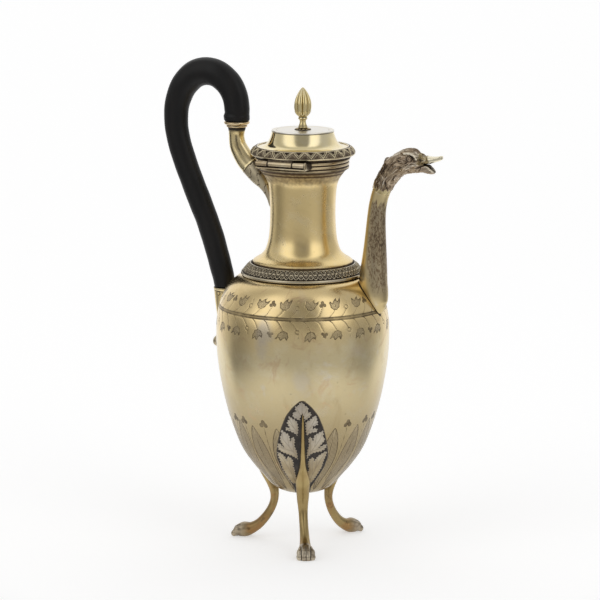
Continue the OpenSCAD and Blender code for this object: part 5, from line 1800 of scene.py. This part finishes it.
arm_st = [[-49.3, 284.5, 6.2, 6.2], [-49.3, 283, 6.1, 6.1], [-49.4, 280.6, 5.6, 5.6], [-49.5, 277.4, 5.4, 5.3], [-49.2, 274, 5.6, 5.3], [-48.2, 270, 6.0, 5.5], [-45.7, 265.6, 6.4, 5.8], [-42.6, 261.2, 6.7, 5.9]]
mount_st = [[-38.9, 257.4, 6.8, 6.0], [-35.6, 254.4, 6.9, 6.2], [-32, 250.6, 6.4, 6.2], [-28.3, 246.4, 5.0, 5.6], [-25.5, 241.8, 3.8, 4.7], [-23.7, 237, 2.9, 3.7], [-22.8, 232, 2.1, 2.7], [-22.2, 227.6, 0.8, 1.0]]
neck_line = spline(neck_st, 12)


def neck_radius(z):
    return np.interp(z, neck_line[:, 1], neck_line[:, 0])


def make_arm():
    m = 120
    s = spline(arm_st + mount_st, 16)
    n_arm = 16 * len(arm_st)
    L = np.r_[0, np.cumsum(np.linalg.norm(np.diff(s[:, :2], axis=0), axis=1))]
    i0 = np.argmax(s[:, 1] < 283.12)
    arm = s[i0:n_arm + 1]
    A, S = np.meshgrid(np.arange(m) / m * TAU, L[i0:n_arm + 1])
    # q = 0 is to the right of the run; the run goes down, so q = 0 faces away from the pot
    side = np.abs(wrap(A - math.pi / 2))
    side2 = np.abs(wrap(A + math.pi / 2))
    f = smooth(S, L[i0] + 1.5, L[i0] + 6)
    off = np.zeros(A.shape)
    rec = np.zeros(A.shape)
    for c in (0.62 * math.pi, -0.62 * math.pi):
        g = wrap(A - c)
        off -= f * 0.55 * bell(g, 0.34)
        off += f * 0.22 * bell(g + math.copysign(0.62, c), 0.16)
        rec += f * 0.75 * bell(g, 0.26) * (1 - 0.6 * smooth(S, L[i0] + 12, L[n_arm]))
    off -= f * 0.25 * (0.5 - 0.5 * np.cos(4 * A)) * 0.6
    # painted shadow on the arm just under the ferrule
    rec = np.maximum(rec, 1.0 * bell(S - L[i0] - 0.2, 1.1) + 0.55 * bell(S - L[i0] - 1.8, 1.2))
    # scalloped lip over the leaf
    lipd = L[n_arm] - S
    off += 0.22 * bell(lipd - 0.6, 0.5)
    rec = np.maximum(rec, 0.7 * bell(lipd, 0.35))
    rings = np.array(loft_on(arm, m))
    c = np.stack([arm[:, 0], 0 * arm[:, 0], arm[:, 1]], 1)[:, None, :]
    D = rings - c
    D /= np.linalg.norm(D, axis=2, keepdims=True)
    rings = rings + D * (off - 0.06)[..., None]
    rings[0, :, 2] = np.minimum(rings[0, :, 2], 283.14)
    # blind bore for the tenon
    q = np.arange(m) / m * TAU

    def disc(zz, rr):
        return np.stack([UP_X - rr * np.cos(q), rr * np.sin(q), np.full(m, zz)], 1)
    bore = [disc(276.8, 0.4), disc(276.7, 3.56), disc(283.1, 3.56)]
    test = disc(283.1, 3.56)
    if (test[0] - [UP_X, 0, 283.1]) @ (rings[0][0] - [UP_X, 0, 283.1]) < 0:
        bore = [np.stack([2 * UP_X - b[:, 0], b[:, 1], b[:, 2]], 1) for b in bore]
    V, F = skin(bore + list(rings))
    at = np.r_[np.full(3 * m, 0.9), rec.ravel()]
    at = np.r_[at, np.full(len(V) - len(at), 0.8)]
    piece(make_mesh("handle_upper_arm", V, F, {"rec": at}, [M["arm"]]), "pot", ("upper_arm",))

    mt = s[n_arm:]
    Lm = L[n_arm:] - L[n_arm]
    A, S = np.meshgrid(np.arange(m) / m * TAU, Lm)
    tot = Lm[-1]
    v = S / tot
    # leaf work: a midrib along the outer side and lobes sweeping down on each side
    back = wrap(A)                                  # 0 = outer side
    ab = np.abs(back)
    off = 0.30 * bell(back, 0.10) * smooth(v, 0.0, 0.12)
    # overlapping leaflets sweep down each side: curved furrows with a finer one inside
    lobe_d = np.full(v.shape, 9.0)
    along = v * tot
    across = ab * 5.6
    for c0, sp in ((-2.5, 7.0), (6.2, 6.4), (14.6, 5.4)):
        k = np.clip((across - 0.8) / 9.0, 0, 1)
        line = c0 + sp * (4 * k * (1 - k)) ** 0.7 + 1.2 * np.abs(np.sin(across * 1.15 + c0)) + 2.0 * k
        lobe_d = np.minimum(lobe_d, np.abs(along - line))
        lobe_d = np.minimum(lobe_d, np.abs(across - 3.6 - 0.12 * (along - c0)) * 0.9 + 0.24 + 0.6 * (np.abs(along - c0 - 3.0) > 3.4))
    body_ = smooth(ab, 0.14, 0.35) * (1 - smooth(v, 0.86, 0.98))
    off += (0.08 - 0.26 * bell(lobe_d, 0.36)) * body_
    rec = np.clip(0.10 + 0.66 * bell(lobe_d, 0.34) + 0.30 * (vnoise(along * 0.5, across * 0.9, 0.0, 9) - 0.4), 0, 1) * body_
    rec = np.maximum(rec, 0.9 * bell(S, 0.45))
    rec = np.maximum(rec, 0.55 * bell(ab - 0.16, 0.05))
    rings = np.array(loft_on(mt, m))
    c = np.stack([mt[:, 0], 0 * mt[:, 0], mt[:, 1]], 1)[:, None, :]
    D = rings - c
    D /= np.linalg.norm(D, axis=2, keepdims=True) + 1e-9
    rings = rings + D * (off - 0.12)[..., None]
    r = np.hypot(rings[..., 0], rings[..., 1])
    z = rings[..., 2]
    lim = np.where(z < 258.6, neck_radius(z) + 0.04, 31.75)
    k = np.where(r < lim, lim / np.maximum(r, 0.1), 1)
    rings[..., :2] *= k[..., None]
    near = np.hypot(rings[..., 0], rings[..., 1]) < lim + 0.3
    rec = np.maximum(rec, 0.85 * near)
    V, F = skin(list(rings))
    at = np.r_[rec.ravel(), np.full(len(V) - rec.size, 0.9)]
    piece(make_mesh("handle_leaf_mount", V, F, {"rec": at}, [M["mount"]]), "pot", ("upper_leaf_mount",))


bud_st = [[-65.2, 131.2, 0.4, 0.4], [-65.4, 132, 1.3, 1.3], [-65.5, 133.4, 2.4, 2.4], [-65.1, 135.2, 2.8, 2.7], [-64.1, 137, 2.3, 2.3], [-62.9, 138.4, 1.9, 2.0]]
socket_st = [[-61.9, 140, 2.1, 2.3], [-61.5, 143, 2.7, 3.0], [-61.3, 149.5, 3.2, 3.7], [-61.0, 156, 3.9, 4.6], [-60.6, 162, 5.0, 5.7], [-60.0, 167.5, 6.2, 6.5], [-59.3, 171, 7.3, 6.8], [-58.8, 174, 7.8, 7.0]]


def make_socket():
    m = 96
    s = spline(bud_st + socket_st, 16)
    nb = 16 * len(bud_st)
    L = np.r_[0, np.cumsum(np.linalg.norm(np.diff(s[:, :2], axis=0), axis=1))]
    so = s[nb:]
    k = np.argmax(so[:, 1] > 172.68)
    so = so[:k + 1].copy()
    Ls = np.r_[0, np.cumsum(np.linalg.norm(np.diff(so[:, :2], axis=0), axis=1))]
    A, S = np.meshgrid(np.arange(m) / m * TAU, Ls)
    tot = Ls[-1]
    d = np.gradient(so[:, :2], axis=0)
    d /= np.linalg.norm(d, axis=1, keepdims=True)
    w = np.clip(1 - (tot - Ls) / 6.0, 0, 1)[:, None]
    d = d * (1 - w) + np.array([0, 1.0]) * w
    d /= np.linalg.norm(d, axis=1, keepdims=True)
    q = np.arange(m) / m * TAU
    ab = np.abs(wrap(A - math.pi))
    out_side = np.abs(wrap(A - math.pi))
    off = 0.22 * bell(tot - S - 0.8, 0.7) - 0.16 * bell(tot - S - 2.2, 0.5) - 0.08 + 0.0 * ab
    off += 0.12 * bell(out_side, 0.22) * (1 - smooth(S, tot * 0.55, tot * 0.8))
    off -= 0.10 * bell(out_side - 0.55, 0.18) * (1 - smooth(S, tot * 0.5, tot * 0.8))
    rec = 0.8 * bell(tot - S - 2.2, 0.45) + 0.5 * bell(out_side - 0.55, 0.12) * (1 - smooth(S, tot * 0.5, tot * 0.8)) + 0.9 * bell(tot - S, 0.3)
    # the rivet's head on both sides
    rings = []
    for i in range(len(so)):
        a, b = so[i, 2] + off[i], so[i, 3] + off[i]
        rings.append(np.stack([so[i, 0] + a * np.cos(q) * d[i, 1], b * np.sin(q), so[i, 1] - a * np.cos(q) * d[i, 0]], 1))
    rings = np.array(rings)
    rings[..., 2] = np.minimum(rings[..., 2], 172.68)
    r = np.hypot(rings[..., 0], rings[..., 1])
    lim = body_radius(rings[..., 2]) + 0.05
    near = r < lim + 0.25
    kk = np.where(r < lim, lim / r, 1)
    rings[..., :2] *= kk[..., None]
    rec = np.maximum(rec, 0.9 * near)
    D2 = np.hypot(rings[..., 0] - LOW_X, rings[..., 2] - 169.2)
    rec = np.maximum(rec, 1.0 * bell(D2 - 1.3, 0.35) * (np.abs(rings[..., 1]) > 4))

    def disc(zz, rr):
        return np.stack([LOW_X + rr * np.cos(q), rr * np.sin(q), np.full(m, zz)], 1)
    bore = [disc(172.6, 3.56), disc(163.3, 3.56), disc(163.2, 0.4)]
    V, F = skin(list(rings) + bore)
    at = np.r_[rec.ravel(), np.full(len(V) - rec.size, 0.9)]
    piece(make_mesh("handle_lower_socket", V, F, {"rec": np.clip(at, 0, 1.1)}, [M["arm"]]), "pot", ("lower_socket",))

    bu = s[:nb + 1]
    Lb = L[:nb + 1]
    A, S = np.meshgrid(q, Lb)
    u = np.abs(wrap01(A / TAU * 8)) * 2
    mid = smooth(S, 0.6, 2.2) * (1 - smooth(S, 5.0, 6.6))
    off = -0.22 * u ** 3 * mid - 0.03
    rec = 0.8 * smooth(u, 0.7, 1) * mid + 0.8 * bell(S - Lb[-1], 0.5)
    rings = np.array(loft_on(bu, m))
    c = np.stack([bu[:, 0], 0 * bu[:, 0], bu[:, 1]], 1)[:, None, :]
    D = rings - c
    D /= np.linalg.norm(D, axis=2, keepdims=True) + 1e-9
    rings = rings + D * off[..., None]
    V, F = skin(list(rings))
    at = np.r_[rec.ravel(), np.full(len(V) - rec.size, 0.5)]
    piece(make_mesh("handle_lower_bud", V, F, {"rec": np.clip(at, 0, 1)}, [M["mount"]]), "pot", ("lower_bud",))


def make_pins():
    for name, node, x, z, half, mat in (("handle_upper_rivet", "upper_handle_pin", UP_X, 280, 5.45, "plain"), ("handle_lower_rivet", "lower_handle_pin", LOW_X, 169.2, 6.9, "plain")):
        n = 40
        q = np.arange(n) / n * TAU
        rings = []
        for y, r in ((-half, 0.0), (-half, 0.42), (-half + 0.12, 0.68), (-half + 0.35, 0.79), (0, 0.79), (half - 0.35, 0.79), (half - 0.12, 0.68), (half, 0.42), (half, 0.0)):
            rings.append(np.array([[x, y, z]]) if r == 0 else np.stack([x + r * np.cos(q), np.full(n, y), z + r * np.sin(q)], 1))
        V, F = skin(rings)
        piece(make_mesh(name, V, F, None, [M[mat]]), "pot", (node,))


# ------------------------------------------------------------------ acanthus plaques
leaf_half = [[5, 39.2], [5.8, 44.5], [9.8, 52], [14.6, 61], [17.2, 69], [17.2, 74], [16.2, 82], [14.2, 91], [10.9, 100], [5.8, 107], [1, 110.8]]
# lobes of the leaf, in mm across and up, drawn on the flat
LOBES = [
    [(-0.8, 109.9), (-2.1, 108.9), (-2.8, 107.4), (-4.5, 107.1), (-4.7, 105.3), (-3.9, 103.4), (-5.8, 103.0), (-6.4, 100.9), (-5.5, 99.0), (-3.4, 98.1), (-1.6, 97.2), (-0.9, 100.2), (0, 102.2),
     (0.9, 100.2), (1.6, 96.8), (2.7, 97.8), (4.6, 99.2), (6.0, 100.9), (5.7, 102.7), (3.6, 103.2), (4.2, 105.2), (3.6, 106.8), (2.2, 107.6), (0.6, 109.4)],
    [(-9.0, 100.0), (-7.5, 99.5), (-6.4, 98.5), (-5.0, 97.7), (-3.6, 96.4), (-2.9, 94.5), (-2.6, 91.8), (-2.6, 89.3), (-3.2, 86.2), (-5.0, 87.7), (-6.9, 88.8), (-8.7, 89.5), (-10.6, 89.8), (-11.0, 91.5), (-9.9, 92.2), (-8.8, 91.4), (-7.9, 90.6), (-9.0, 93.2), (-10.0, 95.2), (-9.5, 96.8), (-8.6, 97.6)],
    [(7.8, 100.1), (8.7, 100.6), (9.6, 99.3), (9.8, 97.2), (10.3, 95.6), (10.2, 93.9), (8.7, 93.2), (7.2, 92.5), (6.8, 91.1), (8.3, 91.5), (9.8, 91.2), (9.9, 89.5), (8.8, 88.3), (7.3, 88.6), (4.9, 87.7), (3.0, 86.0), (2.4, 89.3), (2.2, 93.4), (2.2, 95.4), (3.2, 96.4), (4.7, 97.4), (5.6, 98.3), (6.7, 99.1)],
    [(-13.9, 90.2), (-12.6, 89.3), (-11.0, 88.0), (-9.2, 87.1), (-8.2, 85.0), (-7.8, 81.6), (-7.1, 83.6), (-6.3, 85.1), (-5.2, 84.3), (-4.8, 81.8), (-5.2, 79.4), (-4.6, 76.9), (-3.9, 75.1), (-3.2, 71.9), (-3.0, 68.4), (-5.3, 70.1), (-7.7, 71.3), (-10.8, 72.4), (-13.4, 73.4), (-15.4, 75.0), (-16.2, 76.9), (-16.0, 79.1), (-15.0, 79.8), (-13.5, 78.4), (-11.7, 76.5), (-13.2, 79.4), (-14.2, 81.3), (-14.6, 83.4), (-14.3, 85.5), (-13.5, 86.7), (-13.9, 88.4)],
    [(13.6, 89.2), (14.1, 86.9), (13.6, 84.9), (14.6, 83.9), (14.8, 82.2), (13.7, 80.6), (11.8, 78.2), (10.4, 76.3), (12.9, 78.1), (14.9, 79.1), (16.0, 78.8), (15.9, 77.1), (14.4, 75.2), (12.2, 74.0), (9.0, 73.4), (6.5, 72.8), (4.3, 71.0), (3.0, 68.4), (3.0, 71.9), (3.4, 75.3), (4.1, 77.7), (4.6, 80.2), (3.9, 82.8), (4.6, 84.8), (5.7, 85.2), (6.5, 83.9), (7.2, 81.8), (7.4, 84.3), (8.3, 86.3), (10.3, 87.6), (12.0, 88.6)],
    [(-16.2, 73.0), (-15.0, 72.8), (-13.2, 71.8), (-11.4, 69.7), (-10.2, 67.1), (-10.0, 69.6), (-8.9, 70.3), (-7.5, 69.1), (-6.3, 67.5), (-5.7, 64.8), (-6.0, 62.6), (-5.1, 60.3), (-4.8, 57.4), (-4.0, 53.6), (-3.2, 49.7), (-3.4, 47.6), (-6.8, 48.4), (-8.0, 50.4), (-10.0, 54.2), (-11.8, 57.8), (-13.1, 60.6), (-13.8, 63.2), (-14.4, 66.0), (-15.4, 68.6), (-16.0, 70.6)],
    [(16.2, 73.8), (15.8, 71.2), (14.7, 68.4), (13.6, 65.0), (12.7, 61.4), (10.8, 57.6), (9.1, 54.3), (7.2, 50.8), (4.8, 48.0), (3.2, 47.6), (3.1, 49.8), (3.0, 54.7), (3.4, 58.0), (4.5, 60.3), (3.9, 62.7), (3.8, 65.8), (4.5, 68.0), (6.0, 69.2), (7.4, 69.6), (8.0, 67.2), (9.2, 69.1), (10.6, 70.8), (12.9, 72.3), (15.0, 73.6)],
]
VEINS = [[(0, 103), (0, 108.6)], [(-0.6, 100), (-3.4, 105.6)], [(0.8, 100), (3.0, 105.2)], [(-1.2, 98.6), (-5.2, 101)], [(1.6, 98.4), (4.8, 100.9)],
         [(-3.2, 88.6), (-6.4, 94.0), (-8.6, 98.6)], [(-5.0, 91.6), (-9.2, 95.6)], [(-4.4, 89.6), (-10.0, 90.8)], [(3.2, 88.6), (6.4, 94.0), (8.6, 99.2)], [(5.0, 91.6), (9.4, 95.2)], [(4.6, 89.6), (9.2, 90)],
         [(-3.4, 70.6), (-8.4, 77.6), (-12.6, 83.2), (-13.2, 88.2)], [(-5.6, 73.6), (-6.4, 83.6)], [(-6.4, 74.6), (-15.2, 77.4)], [(-8.4, 77.6), (-10.0, 85.8)],
         [(3.4, 70.6), (8.0, 77.6), (11.6, 83.2), (13.0, 87.4)], [(5.4, 73.6), (5.6, 83.6)], [(6.4, 74.6), (14.8, 77.6)], [(8.0, 78.2), (9.4, 85.8)],
         [(-4.4, 50.6), (-8.6, 60.6), (-12.2, 67.6), (-15.2, 72.0)], [(-6.8, 56.6), (-8.8, 68.8)], [(-5.6, 54.6), (-6.4, 63.0)], [(4.4, 50.6), (8.4, 60.6), (11.6, 67.0), (15.0, 72.6)], [(6.4, 56.6), (6.4, 67.6)], [(8.4, 60.6), (9.8, 68.6)]]


def make_plaque(name, node, a_deg, flip=1):
    rows, cols = 300, 132
    zz = np.linspace(39.35, 110.7, rows)
    hw = np.interp(zz, [p[1] for p in leaf_half], [p[0] for p in leaf_half])
    hs = np.convolve(np.pad(hw, 9, mode="edge"), np.ones(19) / 19, "valid")
    hw = np.minimum(hw, hs)
    hw[-4:] = np.linspace(hw[-5], 0.5, 4)
    k = np.linspace(-1, 1, cols)
    K, Z = np.meshgrid(k, zz)
    U = K * hw[:, None]
    d = np.full(U.shape, 9.0)
    for k_, P in enumerate(LOBES):
        e = poly2(U * flip, Z, P)
        ring = np.asarray(list(P) + [P[0]])
        _, al = line2(U * flip, Z, ring)
        al = al * np.linalg.norm(np.diff(ring, axis=0), axis=1).sum()
        # small teeth all round the lobe
        e = e - 0.80 * (np.abs(np.sin(al * 1.50 + k_)) - 0.66) * bell(e, 1.1)
        d = np.minimum(d, e)
    vein = np.full(U.shape, 9.0)
    for P in VEINS:
        v, _ = line2(U * flip, Z, P)
        vein = np.minimum(vein, v)
    edge = np.minimum(hw[:, None] - np.abs(U), np.minimum(Z - 39.3, (110.75 - Z) * 1.0))
    dome = np.clip(-d, 0, 2.2)
    H = 0.32 + 0.16 * smooth(1.15 - edge, 0.0, 0.35)
    H = np.maximum(H, np.where(d < 0.14, 0.32 + smooth(-d, -0.14, 0.22) * (0.46 + 0.16 * np.sqrt(dome / 2.2)), 0))
    H = H - 0.13 * bell(vein, 0.20) * (d < -0.15)
    # a soft wave from lobe to lobe
    H = H + 0.10 * np.sin(U * 0.9) * np.cos(Z * 0.55) * (d < -0.1)
    H = np.clip(H, 0.30, 1.12)
    H *= smooth(edge, -0.05, 0.28) * 0.92 + 0.08
    R = body_radius(Z)
    # surface normal of the body
    dr = np.gradient(body_radius(zz), zz)
    nn = np.stack([np.ones(rows), -dr], 1)
    nn /= np.linalg.norm(nn, axis=1, keepdims=True)
    a = math.radians(a_deg)
    # the outline is a flat drawing seen from in front: across = r sin t
    t = np.arcsin(np.clip(U / R, -0.98, 0.98))
    rad = R + 0.06 + (H) * nn[:, 0][:, None]
    zo = Z + H * nn[:, 1][:, None]
    T = a + t
    outer = np.stack([rad * np.cos(T), rad * np.sin(T), zo], 2)
    inner = np.stack([(R + 0.055) * np.cos(T), (R + 0.055) * np.sin(T), Z], 2)
    n = rows * cols
    V = np.concatenate([outer.reshape(-1, 3), inner.reshape(-1, 3)])
    i, j = np.meshgrid(np.arange(rows - 1), np.arange(cols - 1), indexing="ij")
    q = np.stack([i * cols + j, i * cols + j + 1, (i + 1) * cols + j + 1, (i + 1) * cols + j], 2).reshape(-1, 4)
    loop = np.r_[np.arange(cols), (np.arange(1, rows)) * cols + cols - 1, (rows - 1) * cols + np.arange(cols - 2, -1, -1), np.arange(rows - 2, 0, -1) * cols]
    nx = np.roll(loop, -1)
    wall = np.stack([loop, loop + n, nx + n, nx], 1)
    F = outward(V, [np.concatenate([q, q[:, ::-1] + n, wall])])
    # the last attribute is painted shade towards the leaf's middle
    at = {"leaf": np.r_[np.clip(d, -2, 2).ravel(), np.full(n, 2.0)], "vein": np.r_[np.clip(vein, 0, 2).ravel(), np.full(n, 2.0)], "edge": np.r_[np.clip(edge, -1, 3).ravel(), np.zeros(n)], "root": np.r_[(smooth(np.abs(U), 8.5, 2.2) * (1 - 0.5 * smooth(Z, 84, 104))).ravel(), np.zeros(n)]}
    piece(make_mesh(name, V, F, at, [M["plaque"]]), "pot", (node,))


# ------------------------------------------------------------------ legs
leg_st = [[48.6, 1.6, 2.6, 6.0], [46.8, 3.3, 4.4, 6.8], [44, 4.2, 5.1, 6.5], [40.6, 5.0, 4.7, 5.2], [36.8, 6.6, 3.9, 4.0], [32.4, 9.6, 3.4, 3.4], [28.2, 14.2, 3.1, 3.1], [24.6, 19.6, 2.9, 3.0],
          [22.3, 25, 2.8, 3.1], [21.5, 30, 2.9, 3.4], [22.2, 35.5, 3.3, 4.0], [24.8, 41.4, 3.7, 4.4], [27.2, 45.0, 3.7, 4.6], [29.4, 48.2, 3.5, 4.8], [31.6, 51.4, 3.2, 4.5], [34.4, 55.2, 3.0, 3.7], [37.2, 59.6, 2.9, 2.8], [40.2, 64.2, 2.7, 2.1], [45, 74, 2.5, 1.6], [49, 85, 2.2, 1.2], [52.4, 97, 1.6, 0.66], [54, 104, 1.0, 0.4]]
LEG_LINE = spline(leg_st, 3)


def paw_turn(z):
    w = np.clip((36 - z) / 30, 0, 1)
    return w * w * (3 - 2 * w)


def leg_field(p):
    x, y, z = p[:, 0], p[:, 1], p[:, 2]
    side, arc, idx, L = sweep_coords(x, z, LEG_LINE)
    a = np.interp(arc, L, LEG_LINE[:, 2])
    b = np.interp(arc, L, LEG_LINE[:, 3])
    # fade the swept leg out inside the paw
    b = b * np.interp(arc, [0, 3, 7, 11, 16], [0.80, 0.80, 0.88, 0.96, 1.0])
    pw = np.interp(arc, [0, 12, 22, 60], [2.2, 2.1, 1.75, 1.7])
    u, v = np.abs(side) / a, np.abs(y) / b
    f = ((u ** pw + v ** pw) ** (1 / pw) - 1) * np.minimum(a, b)
    # heel and instep
    f = smin(f, ellip(np.stack([x, y, z], 1), (42.6, 0, 5.2), (4.8, 5.0, 4.3), 0.12), 1.2)
    toe = np.full(x.shape, 9.0)
    for q in (-4.75, -1.6, 1.6, 4.75):
        k = abs(q)
        c1 = ellip(np.stack([x, y, z], 1), (46.7 - k * 0.16, q * 0.93, 4.9 - k * 0.08), (3.1, 1.85, 2.7), 0.25)
        c2 = ellip(np.stack([x, y, z], 1), (49.8 - k * 0.28, q * 1.02, 2.35), (2.05, 1.62, 2.3), 0.1)
        toe = np.minimum(toe, smin(c1, c2, 0.8))
    g = np.abs(np.abs(y) - 3.15)
    f = smin(f, toe, 0.45)
    groove = (bell(g, 0.42) + bell(y, 0.42)) * smooth(x, 41.5, 45.5)
    f = f + 0.34 * groove
    # nails
    for q in (-4.75, -1.6, 1.6, 4.75):
        k = abs(q)
        n = ellip(np.stack([x, y, z], 1), (51.1 - k * 0.30, q * 1.02, 1.7), (1.0, 0.62, 1.35), -0.2)
        f = smin(f, n, 0.2)
    # a tuft behind the paw
    f = smin(f, ellip(np.stack([x, np.abs(y) - 3.6, z], 1), (39.2, 0, 4.9), (2.6, 1.1, 2.2), 0.5), 0.6)
    return f


def make_legs():
    lo, hi = (17.6, -8.4, -0.6), (56.4, 8.4, 105.4)
    h = 0.36

    def field(p):
        f = leg_field(p)
        r = np.hypot(p[:, 0], p[:, 1])
        z = p[:, 2]
        br = body_radius(np.clip(z, 36.4, 189))
        slope = np.interp(np.clip(z, 36.4, 189), body_line[:, 1], np.gradient(body_line[:, 0]) / (np.gradient(body_line[:, 1]) + 1e-6))
        inside = np.where(z > 36.2, (br + 0.42 - r) / np.sqrt(1 + np.minimum(slope, 12) ** 2), -9 + 0 * r)
        below = np.where((r < 14) & (z > 34), z - 35.6, -9)
        f = np.maximum(f, inside)
        return np.maximum(f, 0.02 - z)
    V, F = mesh_of(field, lo, hi, h)
    V = relax(V, F, 1, 0.4)
    V[:, 2] = np.maximum(V[:, 2], 0.0)
    x, y, z = V.T
    side, arc, idx, L = sweep_coords(x, z, LEG_LINE)
    g = np.abs(np.abs(y) - 3.15)
    paw = smooth(x + 0.9 * (vnoise(x, y, z, 2) - 0.5), 37.0, 45.5) * smooth(14.0 - z, 0, 3)
    rec = (0.86 * bell(g, 0.40) + 0.86 * bell(y, 0.40)) * smooth(x, 42.5, 45.5) * (z < 9)
    crown = 0.6 * bell(z - 2.9, 0.35) * smooth(x, 47.8, 49) * (z < 5)
    rec = np.maximum(rec, crown)
    r = np.hypot(x, y)
    near = r - body_radius(np.clip(z, 36.4, 189))
    rec = np.maximum(rec, (z > 38) * 0.9 * bell(near - 0.45, 0.25))
    ankle = bell(x - 41.3, 1.0) * (z < 12)
    rec = np.maximum(rec, 0.24 * ankle)
    ridge = bell(y, 0.5) * (side > 0)
    # the last number in each row is the leg's painted shade: least on the front leg, most on the handle side; it acts
    # only low down
    for name, node, a, tw, shade_and_stain in (("leg_front", "leg_front_paw", -64.5, 2.5, 0.45), ("leg_spout_side", "leg_spout_paw", 60, 5, 0.8), ("leg_handle_side", "leg_handle_paw", 178.5, 5, 1.0)):
        W = V.copy()
        W[:, 1] += W[:, 0] * math.tan(math.radians(tw)) * paw_turn(W[:, 2])
        c, s = math.cos(math.radians(a)), math.sin(math.radians(a))
        W = np.stack([W[:, 0] * c - W[:, 1] * s, W[:, 0] * s + W[:, 1] * c, W[:, 2]], 1)
        at = {"rec": np.clip(rec, 0, 1.1), "paw": paw, "shade_and_stain": np.full(len(V), shade_and_stain) * smooth(44 - z, 0, 16)}
        piece(make_mesh(name, W, F, at, [M["leg"]]), "pot", (node,))


def make_plaques():
    make_plaque("plaque_front", "acanthus_front", -65.0)
    make_plaque("plaque_spout_side", "acanthus_spout_side", 60.0, -1)
    make_plaque("plaque_handle_side", "acanthus_handle_side", 178.5)


# ------------------------------------------------------------------ build
M = {}


def make_materials():
    M["body"] = gilt("gilt_body", base=(0.80, 0.675, 0.405), engraved=True, rough=0.21, wear=0.42, marks=0.5, low=True)
    M["neck"] = gilt("gilt_neck", base=(0.88, 0.68, 0.33), rough=0.26, rec=True, wear=0.16, marks=0.5, cloud=0.22, tarnish=0.12, deep=(0.10, 0.055, 0.022))
    M["rim"] = gilt("gilt_rim", base=(0.55, 0.435, 0.26), rough=0.18, rec=True, wear=0.3, cloud=0.2, deep=(0.060, 0.036, 0.018))
    M["band"] = relief("chased_shoulder", hi=(0.54, 0.47, 0.35), gold=0.25, rough=0.26)
    M["lid_band"] = relief("chased_lid", hi=(0.64, 0.545, 0.37), lo=(0.045, 0.030, 0.017), gold=0.35, rough=0.24)
    M["lid"] = gilt("gilt_lid", base=(0.88, 0.745, 0.43), rough=0.12, rec=True, wear=0.10, marks=0.2)
    M["inner"] = gilt("gilt_inner", rough=0.38, wear=0.15)
    M["disc"] = gilt("silver_disc", base=SILVER, rough=0.30, rec=True, wear=0.1, marks=0.3)
    M["rosette"] = relief("chased_rosette", hi=(0.50, 0.41, 0.25), gold=0.3)
    M["finial"] = gilt("gilt_finial", base=(0.78, 0.64, 0.33), rough=0.11, rec=True, wear=0.1, marks=0.1)
    M["hinge"] = gilt("gilt_hinge", base=(0.54, 0.44, 0.28), rough=0.15, rec=True, wear=0.45, tarnish=0.45, deep=(0.045, 0.027, 0.014))
    M["plain"] = gilt("gilt_plain", rough=0.24, wear=0.2)
    M["ebony"] = ebony("ebony_wood")
    M["spout"] = spout_metal("gilt_spout")
    M["head"] = head_metal("gilt_head")
    M["plaque"] = plaque_metal("silver_plaque")
    M["leg"] = leg_metal("gilt_leg")
    M["ferrule"] = gilt("gilt_ferrule", base=(0.74, 0.55, 0.30), rough=0.26, rec=True, wear=0.3, tarnish=0.35)
    M["arm"] = gilt("gilt_arm", rough=0.24, rec=True, wear=0.25, tarnish=0.15)
    M["mount"] = relief("silver_mount", hi=(0.47, 0.395, 0.285), gold=0.35)


bpy.context.scene.view_settings.view_transform = "Standard"
make_camera()
make_stage()
make_world()
make_materials()
for build in (make_body, make_neck, make_mouth_rim, make_shoulder_band, make_lid, make_finial, make_hinge,
              make_spout_tube, make_spout_head, make_grip, make_ferrule, make_arm, make_socket, make_pins, make_plaques, make_legs):
    build()
for name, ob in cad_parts.items():
    if not ob.hide_render:
        ob.data.materials.clear()
        ob.data.materials.append(M["ebony"] if name == "handle_grip" else M["plain"])
        for p in ob.data.polygons:
            p.use_smooth = True
